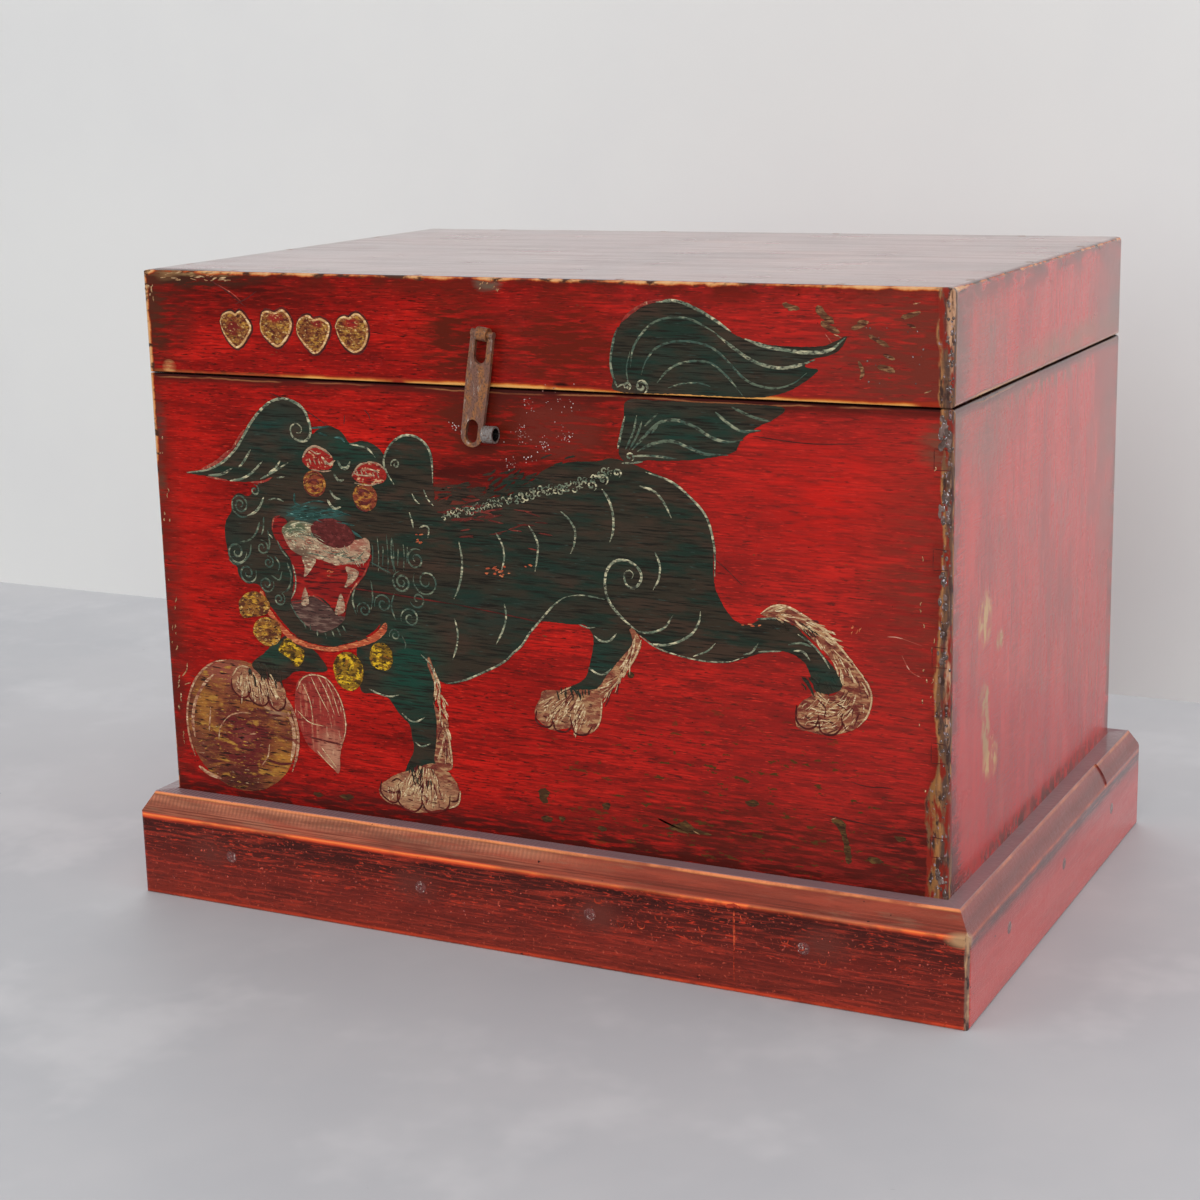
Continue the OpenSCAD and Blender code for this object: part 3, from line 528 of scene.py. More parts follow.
# rose laid on thin: pale and dark streaks that run with the brush
PINK = brushed_paint("brushed_rose_paint", "#8c2c24", [
    ("#a8664c", (3, 30), 0.58, 0.08), ("#76221c", (16, 3), 0.55, 0.08),
    ("#551612", (7, 1.3), 0.60, 0.05), ("#c49a78", (2, 12), 0.66, 0.05)], 0.2, spots=[
    ("#a8745a", -170, 130, 20, 24, 1.1)])
# bright red with cream specks where it has rubbed through
BROW = brushed_paint("brushed_red_brow_paint", "#8c1a12", [
    ("#c0946c", (4, 2.4), 0.585, 0.03), ("#5e120d", (8, 2), 0.57, 0.06)], 0.2)
# deep crimson in long soft streaks
MOUTH = brushed_paint("brushed_crimson_paint", "#78100c", [
    ("#94170f", (30, 8), 0.55, 0.08), ("#3f0d0a", (16, 1.6), 0.56, 0.06)])
# a dull red-brown earth, spotted
NOSE = brushed_paint("brushed_oxide_red_paint", "#521c19", [
    ("#6a2c28", (5, 3), 0.56, 0.06), ("#401512", (3, 2), 0.60, 0.05)], 0.2)
# violet that has gone grey, streaked along the tongue
TONGUE = brushed_paint("brushed_grey_violet_paint", "#4a302a", [
    ("#70564a", (14, 2), 0.55, 0.06), ("#2a1c19", (8, 1.4), 0.58, 0.05)], 0.2)
# orange that thins out to pale streaks
ORANGE = brushed_paint("brushed_orange_paint", "#a84a2c", [
    ("#cc7e50", (8, 1.6), 0.54, 0.06), ("#702c1c", (6, 1.6), 0.58, 0.05)], 0.25)
# an amber glaze that gleams here and there over red-brown
AMBER = brushed_paint("brushed_amber_paint", "#7a3420", [
    ("#a8702c", (6, 3), 0.56, 0.06), ("#541c12", (6, 2.4), 0.55, 0.06),
    ("#c8984c", (3, 1.4), 0.64, 0.05)], 0.3)
# powdered brass in varnish: gold flecks gone brown in places
GOLD = brushed_paint("brushed_bronze_paint", "#865420", [
    ("#b8862c", (7, 4), 0.54, 0.05), ("#542a16", (7, 3.4), 0.53, 0.05),
    ("#cfa860", (3, 1.6), 0.63, 0.05), ("#2e1a0e", (4, 1.4), 0.59, 0.04)], 0.3)
# chrome yellow gone brown and black in spots
YELLOW = brushed_paint("brushed_chrome_yellow_paint", "#846014", [
    ("#d4a81e", (6, 4), 0.54, 0.04), ("#4a3410", (6, 3.4), 0.53, 0.04),
    ("#221a0b", (5, 1.8), 0.58, 0.04), ("#9a5a1c", (7, 3), 0.62, 0.05)], 0.3)
# red-brown ground bared where the coat is rubbed through
RUBBED_RED = brushed_paint("brushed_brown_red_paint", "#5a221b", [
    ("#773027", (20, 4), 0.54, 0.07), ("#401813", (12, 2), 0.58, 0.06),
    ("#8f5a4c", (5, 1.6), 0.68, 0.05)], 0.2)
# bronze mottled over red, with the grain as dark streaks
BALL = brushed_paint("brushed_ball_bronze_paint", "#783c24", [
    ("#8c5226", (14, 9), 0.54, 0.06), ("#5e281c", (18, 7), 0.52, 0.07),
    ("#a0702c", (13, 5.5), 0.61, 0.06), ("#b88a3a", (6, 1.8), 0.64, 0.05), ("#c8a67c", (7, 1.5), 0.68, 0.04),
    ("#26120d", (14, 1.8), 0.585, 0.04)], 0.3, spots=[
    ("#8a4634", -262, 184, 40, 14, 1.4), ("#9c6428", -288, 152, 12, 30, 1.1), ("#a66c28", -216, 116, 18, 26, 1.4),
    ("#601c1a", -252, 130, 34, 32, 2.6), ("#78322a", -252, 132, 14, 12, 1.3), ("#4c2018", -256, 98, 44, 14, 1.2),
    ("#b39474", -219, 168, 14, 20, 1.3), ("#6a3424", -292, 120, 14, 22, 1)])
# dark verdigris with pale streaks
TEAL = brushed_paint("brushed_verdigris_paint", "#2c4e48", [
    ("#203831", (10, 2.4), 0.52, 0.06), ("#5c857c", (6, 1.4), 0.64, 0.05)], 0.2)
# bronze mottled over red, as on the ball
HEART = brushed_paint("brushed_heart_paint", "#7a441e", [
    ("#a8782e", (4, 2.6), 0.53, 0.06), ("#521a10", (5, 2.4), 0.54, 0.06),
    ("#c8a468", (2.4, 1.6), 0.62, 0.05), ("#34130c", (3, 1.2), 0.62, 0.05)], 0.3, spots=[
    ("#6a1810", -238, 452, 9, 10, 1.8), ("#8a1a12", -200, 461, 9, 5, 1.8), ("#7a1a12", -164, 458, 7, 5, 1.4),
    ("#8a1a12", -134, 459, 9, 6, 1.6)])
# pale bronze laid thick, with the red in its gaps
HEART_RIM = brushed_paint("brushed_heart_rim_paint", "#c0915c", [
    ("#e2c08e", (5, 2.4), 0.55, 0.06), ("#8a4c2c", (4, 1.6), 0.58, 0.05)], 0.3)
BALL_RIM = brushed_paint("brushed_ball_rim_paint", "#a87a5a", [
    ("#cfae88", (8, 4), 0.56, 0.06), ("#7c4030", (8, 3), 0.54, 0.06)], 0.3)
# wood bared where the lacquer chipped off: matt, in short streaks of the grain
TAN_CHIP = brushed_paint("rubbed_softwood_in_a_chip", "#9c7650", [
    ("#c0a07a", (4, 2), 0.56, 0.06), ("#5c3826", (4, 1.6), 0.55, 0.06)], 0.15, 0.6)
CHIP = brushed_paint("bared_softwood_in_a_chip", "#432813", [
    ("#5e4220", (7, 2.2), 0.56, 0.08), ("#2e1a0d", (8, 1.4), 0.56, 0.05)], 0.15, 0.6)
LID_CHIP = brushed_paint("bared_softwood_in_a_lid_chip", "#5a3620", [
    ("#8a6240", (6, 2), 0.54, 0.08), ("#431c12", (8, 1.4), 0.55, 0.06)], 0.15, 0.6)
# varnish that ran and set glossy, redder than the stain beside it
PLINTH_RUN = brushed_paint("run_of_red_varnish", "#a03420", [
    ("#d05a34", (3, 6), 0.58, 0.08), ("#6a2016", (5, 3), 0.54, 0.08)], 0.2, 0.25)
# scratches, dark where they hold dirt and pale where they are fresh
SCRATCH = brushed_paint("dark_scratch", "#3c130f", [
    ("#5f1a14", (20, 3), 0.54, 0.08)], 0.1, 0.5)
PALE_SCRATCH = brushed_paint("pale_scratch", "#8f3a2c", [
    ("#c08a74", (14, 3), 0.58, 0.05)], 0.1, 0.5)


# Shapes of the paint
def flowing(points, closed, step=1.6):
    """A smooth curve through the points, cut at about every step mm."""
    pts = [Vector(p) for p in zip(points[::2], points[1::2])]
    count, line = len(pts), []
    for i in range(count if closed else count - 1):
        if closed:
            p0, p1, p2, p3 = (pts[(i + k) % count] for k in (-1, 0, 1, 2))
        else:
            p1, p2 = pts[i], pts[i + 1]
            p0 = pts[i - 1] if i else p1 * 2 - p2
            p3 = pts[i + 2] if i + 2 < count else p2 * 2 - p1
        # from p1 to p2 on a cubic that their neighbours lead
        cuts = max(2, int((p2 - p1).length / step))
        for k in range(cuts):
            t = k / cuts
            line.append(0.5 * ((2 * p1) + (p2 - p0) * t + (2 * p0 - 5 * p1 + 4 * p2 - p3) * t * t
                               + (3 * p1 - p0 - 3 * p2 + p3) * t ** 3))
    return line if closed else line + [pts[-1]]


def shape_of(outline, lift, rng, shake=0.22, y=FRONT_Y):
    """A closed thin plate of paint on the front: its corner points and faces."""
    edge = flowing(outline, True)
    area = sum(a.x * b.y - b.x * a.y for a, b in zip(edge, edge[1:] + edge[:1]))
    if area < 0:
        edge.reverse()
    edge = [p + Vector((rng.uniform(-shake, shake), rng.uniform(-shake, shake))) for p in edge]
    n = len(edge)
    points = [(p.x, y - lift, p.y) for p in edge] + [(p.x, y + SUNK, p.y) for p in edge]
    faces = [tuple(range(n)), tuple(range(2 * n - 1, n - 1, -1))]
    faces += [(k, n + k, n + (k + 1) % n, (k + 1) % n) for k in range(n)]
    return points, faces


def line_of(path, width, lift, rng, y=FRONT_Y):
    """A closed ridge of paint that follows a path and runs thin at both ends."""
    way = flowing(path, False)
    n = len(way)
    # points across the ridge, as shares of its half width and heights: feet in the board, flanks, and a flat back
    section = ((-1, -SUNK), (-1, lift * 0.6), (-0.4, lift), (0.4, lift), (1, lift * 0.6), (1, -SUNK))
    corners = len(section)
    points, faces = [], []
    for k, p in enumerate(way):
        ahead = way[min(k + 1, n - 1)] - way[max(k - 1, 0)]
        side = Vector((-ahead.y, ahead.x)).normalized()
        run = k / (n - 1)
        # the brush is set down at a third of its width and lifts off at a quarter
        half = width * 0.5 * min(1, 0.35 + 5 * run, 0.25 + 4 * (1 - run)) * rng.uniform(0.85, 1.12)
        for across, out in section:
            q = p + side * half * across
            points.append((q.x, y - out, q.y))
    for k in range(n - 1):
        here, there = corners * k, corners * (k + 1)
        for c in range(corners):
            d = (c + 1) % corners
            faces.append((here + c, here + d, there + d, there + c))
    faces += [tuple(range(corners - 1, -1, -1)), tuple(range(corners * (n - 1), corners * n))]
    return points, faces


def curl(cx, cz, r, turns=1.5, start=-60, way=1):
    """The path of a curl of hair that winds in towards its centre."""
    steps = int(10 * turns) + 4
    path = []
    for k in range(steps + 1):
        t = k / steps
        a = math.radians(start) + way * turns * 2 * math.pi * t
        reach = r * (1 - 0.82 * t)
        path += [cx + reach * math.cos(a), cz + reach * math.sin(a)]
    return path


def oval(cx, cz, rx, rz, count):
    """The outline of an oval through count points."""
    turns = [2 * math.pi * k / count for k in range(count)]
    return [v for a in turns for v in (cx + rx * math.cos(a), cz + rz * math.sin(a))]


def placed(name, data):
    """Puts a mesh, a lamp or the camera into the scene."""
    made = bpy.data.objects.new(name, data)
    bpy.context.scene.collection.objects.link(made)
    return made


def piece(name, body, finish, parts):
    """One object from several closed parts, in mm, riding on a body."""
    points, faces = [], []
    for some_points, some_faces in parts:
        faces += [tuple(len(points) + i for i in face) for face in some_faces]
        points += [tuple(c * MM for c in p) for p in some_points]
    mesh = bpy.data.meshes.new(name)
    mesh.from_pydata(points, [], faces)
    mesh.materials.append(finish)
    mesh.validate()
    made = placed(name, mesh)
    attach(made, body)
    return made


def dabs(seed, box, slope, count, length=(4, 9), width=(0.9, 1.8)):
    """Short brush strokes scattered in a box of x and z, running down a slope in degrees."""
    rng = random.Random(seed)
    made = []
    for _ in range(count):
        x, z = rng.uniform(box[0], box[2]), rng.uniform(box[1], box[3])
        a, long = math.radians(slope + rng.uniform(-18, 18)), rng.uniform(*length)
        bend = rng.uniform(-1, 1)
        made.append((rng.uniform(*width), [x, z, x + 0.5 * long * math.cos(a) + bend, z + 0.5 * long * math.sin(a),
                                           x + long * math.cos(a), z + long * math.sin(a)]))
    return made


def fills(name, body, finish, lift, outlines, y=FRONT_Y, shake=0.22):
    """Painted or bared shapes, from their outlines, each a little proud of the one before it."""
    rng = random.Random(name)
    piece(name, body, finish, [shape_of(outline, lift + SHAPE_STEP * k, rng, shake, y)
                               for k, outline in enumerate(outlines)])


def lines(name, body, finish, lift, paths, broader=1, y=FRONT_Y):
    """Painted or scratched lines, from a width in mm and a path each."""
    rng = random.Random(name)
    piece(name, body, finish, [line_of(path, width * broader, lift + LINE_STEP * k % LINE_RISE, rng, y)
                               for k, (width, path) in enumerate(paths)])


# the lion's dark coat, as outlines of x and z in turn, in mm
LEFT_EAR = [-290, 340, -272, 343, -255, 350, -243, 360, -235, 370, -228, 380, -218, 391, -208, 398.5, -198, 401, -188,
            399, -180, 394, -176, 386, -174, 376, -178, 362, -188, 350, -200, 347, -210, 342, -222, 338, -235, 336,
            -250, 336, -268, 338]
HEAD = [-176, 386, -174, 376, -168, 379, -160, 382.5, -152, 381, -146, 377, -141, 371, -132, 372.5, -124, 372, -117,
        369, -113, 365, -102, 352, -94, 330, -84, 310, -78, 290, -80, 262, -88, 242, -102, 232, -112, 236, -120, 236,
        -128, 229, -138, 223, -150, 218, -165, 214, -178, 214, -190, 216, -200, 221, -210, 230, -217, 238, -222, 244,
        -225, 252, -231, 257, -240, 257, -247, 262, -249, 270, -255, 275, -257, 285, -258, 295, -256, 305, -251, 312,
        -249, 322, -243, 327, -235, 325, -229, 329, -222, 337, -210, 342, -200, 348, -188, 358]
RIGHT_EAR = [-112, 357, -108, 368, -100, 376, -90, 379, -80, 377, -72, 369, -71, 358, -71, 345, -70, 334, -74, 320, -90,
             314, -104, 328, -111, 345]
BODY = [-92, 330, -75, 333, -60, 330, -45, 331, -30, 334, -15, 338, 0, 343, 10, 350, 18, 358, 30, 364, 45, 367, 60, 368,
        75, 371, 90, 368, 105, 363, 120, 357, 135, 346, 145, 333, 150, 315, 150, 295, 152, 283, 158, 272, 165, 264, 175,
        261, 185, 266, 195, 268, 210, 263, 225, 250, 235, 240, 243, 230, 243, 222, 232, 218, 224, 220, 222, 228, 215,
        240, 200, 245, 185, 242, 172, 237, 160, 233, 140, 232, 120, 235, 105, 240, 92, 247, 70, 255, 45, 250, 30, 249.5,
        14, 249, 5, 240, -2, 230, -12, 222, -20, 214, -32, 208, -50, 199, -66, 195, -80, 203, -96, 235, -98, 290]
HIND_LEG = [40, 253, 50, 250, 56, 243, 56, 235, 52, 218, 47, 209, 32, 200, 45, 201, 60, 198, 65, 203, 74, 216, 84, 229,
            91, 240, 88, 251, 72, 260]
FORELEG = [-142, 222, -142, 184, -130, 181, -120, 180, -115, 176, -108, 167, -100, 160, -98, 150, -97, 140, -102, 130,
           -105, 121, -92, 119, -80, 127, -75, 135, -77, 150, -76, 165, -77, 180, -76, 195, -70, 201, -62, 215, -78,
           250, -112, 248, -127, 225]
FAR_FORELEG = [-240, 192, -228, 203, -215, 214, -202, 220, -188, 213, -178, 206, -171, 195, -185, 192, -200, 191, -210,
               184, -225, 180]
TAIL_FOOT = [80, 374, 81, 385, 84, 400, 87, 412, 110, 413, 150, 413, 201, 412.5, 195, 404, 185, 399, 178, 394, 171, 388,
             167, 381, 155, 377, 140, 374, 120, 372, 100, 371, 88, 368]
TAIL = [80, 418, 77, 428, 75, 437, 78, 452, 82, 463, 90, 473, 103, 479, 118, 481, 130, 480, 143, 474, 155, 467, 165,
        461, 175, 457, 190, 454, 210, 453, 230, 454, 240, 458, 247, 461, 243, 453, 235, 448, 222, 445, 218, 440, 227,
        438, 216, 429, 205, 423, 195, 420, 180, 418, 130, 418]
fills("lion_coat", "trunk", COAT, 0.12, [HEAD, LEFT_EAR, RIGHT_EAR, BODY, HIND_LEG, FORELEG, FAR_FORELEG, TAIL_FOOT])
fills("lion_tail", "lid", COAT, 0.12, [TAIL])

fills("ball_gold", "trunk", BALL, 0.14, [oval(-254, 142, 52, 53, 24)])
fills("leaf", "trunk", PINK, 0.20, [
    [-202, 170, -199, 182, -190, 190, -180, 191, -170, 188, -162, 178, -157, 165, -156, 150, -160, 138, -163, 130, -165,
     114, -172, 119, -182, 126, -192, 133, -198, 145, -202, 158]])
PAWS = [
    [-261, 178, -257, 187, -247, 191, -238, 189, -230, 183, -222, 182, -214, 180, -210, 172, -213, 163, -222, 157, -233,
     160, -243, 163, -252, 166, -258, 170],
    [-104, 123, -95, 126, -85, 131, -75, 131, -66, 125, -60, 117, -58, 108, -60, 103, -68, 98, -80, 95, -90, 92, -103,
     91, -112, 95, -122, 96, -129, 102, -128, 109, -120, 115, -112, 120],
    [-80, 214, -75, 195, -78, 180, -71, 170, -66, 165, -67, 155, -65, 145, -64, 130, -72, 128, -79, 133, -77, 150, -76,
     165, -78, 180, -77, 195, -82, 208],
    [7, 181, 12, 192, 15, 198, 30, 200, 45, 202, 58, 204, 66, 214, 76, 226, 87, 240, 85, 250, 89, 250, 94, 240, 89, 230,
     79, 216, 68, 203, 62, 195, 60, 180, 55, 172, 45, 168, 35, 172, 22, 169, 12, 174],
    [185, 270, 192, 275, 202, 277, 215, 272, 230, 263, 242, 252, 253, 240, 262, 228, 265, 218, 262, 206, 255, 197, 245,
     192, 235, 189, 222, 190, 212, 192, 210, 200, 214, 210, 221, 215, 226, 219, 236, 217, 244, 224, 243, 232, 238, 240,
     230, 249, 220, 257, 210, 264, 200, 268, 190, 268]]
fills("lion_paws", "trunk", FUR, 0.28, PAWS)
fills("lion_mouth", "trunk", MOUTH, 0.30, [
    [-211, 309, -203, 311, -196, 301, -190, 291, -180, 287, -160, 283, -140, 283, -127, 288, -128, 282, -133, 272, -145,
     258, -150, 248, -153, 238, -160, 240, -170, 250, -182, 252, -190, 247, -200, 245, -198, 255, -197, 270, -200, 281,
     -210, 292, -214, 301]])
fills("lion_tongue", "trunk", TONGUE, 0.34, [
    [-200, 245, -190, 248, -178, 251, -167, 246, -160, 239, -152, 238, -160, 230, -175, 224, -190, 230]])
fills("lion_muzzle", "trunk", CREAM, 0.36, [
    [-205, 300, -201, 306, -194, 309, -180, 308, -165, 305, -150, 300, -140, 298, -130, 300, -127, 293, -129, 285, -136,
     280, -148, 279, -158, 277.5, -168, 280, -180, 282, -190, 283, -199, 288]])
fills("lion_teeth", "trunk", CREAM, 0.42, [
    [-188, 282, -176, 281, -179, 274, -187, 266, -186, 274], [-149, 277, -138, 274, -143, 266, -151, 261, -148, 270],
    [-191, 245, -187, 258, -184, 246], [-161, 240, -155, 256, -152, 243]])
fills("lion_nose", "trunk", NOSE, 0.44, [
    [-179, 304, -172, 311, -158, 312.5, -146, 308, -140, 300, -147, 292.5, -160, 291, -172, 295]])
fills("lion_brows", "trunk", BROW, 0.30, [
    [-183, 355, -180, 362, -172, 366, -163, 364, -156, 358, -158, 351, -166, 349, -176, 349],
    [-140, 346, -135, 353, -126, 357, -116, 356, -110, 350, -113, 343, -122, 341, -132, 341]])
fills("lion_eyes", "trunk", AMBER, 0.34, [oval(-173.5, 338.5, 10, 10, 10), oval(-129.5, 331, 10.5, 10.5, 10)])
fills("lion_collar", "trunk", ORANGE, 0.30, [
    [-226, 252, -222, 241, -212, 229, -201, 220, -190, 215.5, -178, 213.5, -165, 213.5, -150, 217.5, -135, 223, -125,
     229, -117, 237, -116, 231, -124, 223, -135, 218, -150, 213.5, -165, 210, -178, 210, -191, 211.5, -203, 215.5, -213,
     224, -224, 237, -229, 250]])
fills("orange_bells", "trunk", GOLD, 0.40, [
    [-249, 240, -244, 247, -235, 251, -226, 249, -220, 242, -224, 234, -236, 231, -246, 230],
    [-237, 220, -233, 228, -224, 232, -214, 229, -211, 220, -215, 212, -224, 209, -233, 213]])
fills("yellow_bells", "trunk", YELLOW, 0.40, [
    [-214, 206, -210, 214, -204, 217, -198, 212, -191, 208, -193, 199, -200, 195, -205, 201],
    [-165, 197, -162, 206, -154, 211, -145, 209, -139, 202, -139, 192, -144, 184, -152, 181, -161, 185],
    [-132, 211, -128, 219, -120, 221, -113, 216, -112, 207, -116, 201, -124, 200, -131, 204]])
HEARTS = [
    [-250, 457, -247, 462, -240, 464, -236, 462, -232, 464.5, -227, 460, -223, 453, -227, 446, -232, 440, -237, 438,
     -243, 443, -248, 450],
    [-214, 456, -211, 464, -205, 465, -201, 464, -194, 466.5, -188, 461, -187, 455, -191, 447, -199, 440, -207, 444,
     -213, 450],
    [-182, 455, -179, 460, -172, 463, -167, 460, -161, 461, -154, 457, -155, 450, -160, 441, -167, 436, -174, 441, -181,
     449],
    [-148, 456, -145, 461, -140, 463, -136, 462, -130, 465.5, -124, 462, -121, 456, -122, 447, -127, 440, -133, 438,
     -140, 442, -145, 448]]
fills("hearts", "lid", HEART, 0.25, HEARTS)
lines("heart_shadows", "lid", SCRATCH, 0.12, [(5, h + h[:2]) for h in HEARTS])
lines("heart_outlines", "lid", HEART_RIM, 0.5, [(1.7, h + h[:2]) for h in HEARTS])

# stripes, edge lines and curls: width in mm, then the path as x and z in turn
lines("lion_lines", "trunk", LINE, 0.42, [
    # left ear
    (2.4, [-290, 340, -272, 343, -256, 350, -244, 360, -236, 370, -229, 380, -219, 391, -208, 398.5, -198, 401, -188,
           399, -180, 394, -176, 386, -174.5, 378, -177, 372, -181, 370, -187, 370.5, -191.5, 374, -192, 380, -187, 383,
           -182.5, 380, -183.5, 376, -187, 376]), (2.4, [-270, 339, -258, 340.5, -247, 346]),
    (2.2, [-242, 346, -236, 352, -229.5, 361]), (2.2, [-250, 336, -240, 338, -230, 343, -219, 353]),
    (2, [-214, 344, -208, 348, -203, 354]), (1.8, [-222, 339, -210, 345, -196, 353]), (1.6, [-207, 341, -200, 342]),
    # between the eyes
    (2.6, [-152, 357, -149, 352, -144, 352, -141, 357]), (2.2, [-156, 347, -152, 342, -147, 343]),
    (2.2, [-160, 334, -156, 329, -151, 328]), (2.4, [-163, 327, -158, 321, -151, 322]),
    (1.6, [-141, 370, -133, 369, -125, 367, -119, 361]),
    # mane strokes
    (2.2, [-220, 325, -224, 318, -229, 313, -236, 310]), (1.4, [-217, 323, -209, 325, -202, 323]),
    (1.5, [-217, 297, -214, 294]), (1.6, [-92, 322, -90, 316, -89, 310]),
    (1.6, [-84, 311, -79, 313, -76, 311, -77, 304]), (1.4, [-79, 340, -76, 333, -71, 328]),
    (1.4, [-89, 336, -86, 331, -83, 329]),
    # right ear
    (2, [-104, 342, -110, 351, -112, 359, -108, 368, -100, 376, -90, 379, -80, 376.5, -73, 369, -71, 358, -71, 345]),
    (1.5, curl(-102, 357, 4, 1.2, 200, -1)),
    # the stripes of the back
    (1.9, [-51, 303, -49, 290, -50, 278, -53, 268, -57, 260]), (1.7, [-57, 245, -55, 235, -56, 225, -60, 214]),
    (1.7, [-20, 312, -15, 303, -14, 293, -17, 283]), (1.7, [-15, 260, -14, 250, -17, 240, -23, 229]),
    (1.9, [7, 319, 12, 311, 14, 303, 11, 286]), (1.9, [33, 331, 39, 326, 44, 318, 43, 308, 40, 301]),
    (2.2, [66, 349, 71, 342, 74, 332, 74, 320, 71, 311]), (1.9, [95, 353, 106, 350, 113, 343, 119, 332]),
    (1.8, [106, 307, 109.5, 298, 108.5, 288, 104, 280]),
    (1.8, [100, 363, 120, 357, 136, 345, 146, 333, 151, 313, 151, 293]),
    # the swirl on the hip and the arcs round it
    (2.3, [92, 249, 84, 254, 75, 262, 69, 270, 66.5, 280, 68, 290, 73, 297, 80, 299.5, 88, 298, 94, 293, 95, 287, 91,
           281, 86, 280, 82.5, 284, 82, 290, 86, 292.5, 89, 290, 87.5, 286.5]),
    (1.9, [92, 249, 101, 249, 112, 253.5, 119, 263]),
    (2.1, [100, 241, 112, 241, 124, 245, 134, 252, 139, 261, 140, 268]), (1.4, [134, 235, 145, 240, 151, 246]),
    (1.2, [93, 246, 105, 239, 120, 235, 140, 232.5, 160, 233.5, 172, 238]), (1.6, [172, 240, 178, 242, 183, 249]),
    (1.3, [183, 243, 192, 244, 200, 245]),
    # belly line
    (1.8, [-66, 195, -50, 199.5, -30, 209, -16, 217, -10, 223, -2, 230, 5, 240, 13, 249, 24, 261, 33, 268, 42, 271]),
    (1.2, [40, 270.5, 50, 271.5, 66, 270]),
    # legs
    (1.8, [57, 243, 62, 239.5, 69, 240, 75, 246]), (1.8, [52, 219, 59, 215, 66, 216, 70, 220]),
    (1.2, [45, 250, 52, 248, 58, 249]), (1.6, [-87, 215, -80, 209, -76, 200, -75.5, 193]),
    (1.5, [-134, 184, -125, 181, -116, 180, -108, 182]), (1.6, [-106, 168, -99, 163, -93, 163, -86, 167]),
    (1.4, [-96, 147, -90, 144, -82, 147]), (1.6, [212, 258, 222, 252, 230, 244, 235, 236]),
    (1.8, [209, 246, 216, 246, 221, 240]), (1.6, [182, 266, 190, 267, 200, 268]),
    # edge of the tail's foot
    (2, [79, 378, 82, 390, 85, 401]), (1.8, [-197, 275, -195, 265, -196, 256, -200, 248]),
], broader=0.85)
lines("lion_quiet_lines", "trunk", DIM_LINE, 0.36, [
    # curls of the mane on the left
    (1.3, curl(-242, 318, 7.5, 1.7, 150, -1)), (1.3, [-249, 322, -249, 314, -243, 309, -236, 309]),
    (1.5, curl(-248, 281, 9.5, 1.6, 0, -1)), (1.3, [-234, 288, -236, 280, -242, 274, -250, 271, -256, 275]),
    (1.3, curl(-239, 265, 8.5, 1.6, 20, -1)), (1.2, curl(-222, 258, 7, 1.6, 20, -1)),
    (1.2, curl(-224, 286, 6, 1.4, 100, -1)), (1.2, curl(-219, 275, 5, 1.4, 100, -1)),
    (1.2, curl(-211, 247, 5.5, 1.5, 60, -1)), (1.2, [-217, 265, -210, 262, -207, 269]),
    (1.2, [-213, 280, -209, 274, -211, 268]), (1.3, [-202, 276, -199, 266, -202, 256, -208, 252]),
    (1.4, [-225, 306, -229, 297, -236, 291, -244, 289]), (1.3, [-218, 300, -217, 289, -220, 282]),
    (1.2, [-221, 310, -222, 301, -224, 296]), (1.2, curl(-228, 330, 4.5, 1.2, 90, -1)),
    (1.2, [-210, 293, -206, 285, -200, 279]),
    # jaw
    (1.2, [-201, 244, -196, 236, -189, 229]), (1.1, [-190, 231, -188, 226]), (1.1, [-184, 230, -184, 225]),
    (1.1, [-178, 226, -178, 221]), (1.1, [-171, 225, -170, 220]), (1.1, [-165, 227, -163, 222]),
    (1.1, [-160, 229, -157, 223]), (1.1, [-155, 231, -152, 226]),
    # curls of the mane on the right
    (1.5, curl(-101, 269, 8.5, 1.9, 100, 1)), (1.2, curl(-80, 271, 11.5, 1.6, 150, 1)),
    (1.3, curl(-88, 287, 8.5, 1.5, 60, 1)), (1.3, curl(-118, 251, 8, 1.5, 200, -1)),
    (1.2, curl(-135, 245, 6.5, 1.5, 200, -1)), (1.1, curl(-109, 228, 5, 1.4, 200, -1)),
    (1.2, curl(-95, 242, 8.5, 1.5, 200, -1)), (1.2, curl(-88, 257, 7, 1.2, 200, 1)),
    (1.2, [-142, 262, -145, 252, -142, 240]), (1.2, [-128, 268, -127, 255, -129, 246]),
    (1.2, [-108, 260, -111, 250, -108, 240]), (1.1, [-103, 228, -100, 222, -101, 218]),
    # fine hair on the cheek
    *[(0.8, [x, 276 + a, x + 1, 288 + a, x + 0.5, 301 - 1.5 * a])
      for x, a in ((-126, 3), (-121, 0), (-117, 4), (-113, -2), (-108, 0), (-104, 5), (-99, 2), (-96, 8))],
    (1.2, [-127, 282, -118, 278, -110, 275]), (1.3, [-108, 302, -109, 288, -106, 276]),
    # the tail's foot
    (1.5, [85, 378, 91, 390, 94, 402]), (1.4, [88, 378, 94, 388, 98, 398]),
    (2, [90, 378, 98, 386, 106, 394, 114, 399, 125, 400, 138, 396, 150, 389.5, 162, 387, 173, 389]),
    (2, [94, 377, 106, 383, 120, 385.5, 132, 382, 145, 378, 162, 378]), (1.6, [90, 373.5, 105, 374.5, 124, 373.5]),
    (1.5, [100, 395, 110, 404]), (2, [153, 407, 162, 400, 172, 395, 186, 396]), (1.8, [165, 411, 180, 405, 193, 402.5]),
    (1.4, [105, 390, 110, 396]), (1.4, [205, 250, 214, 252, 222, 250]),
], broader=1.1)
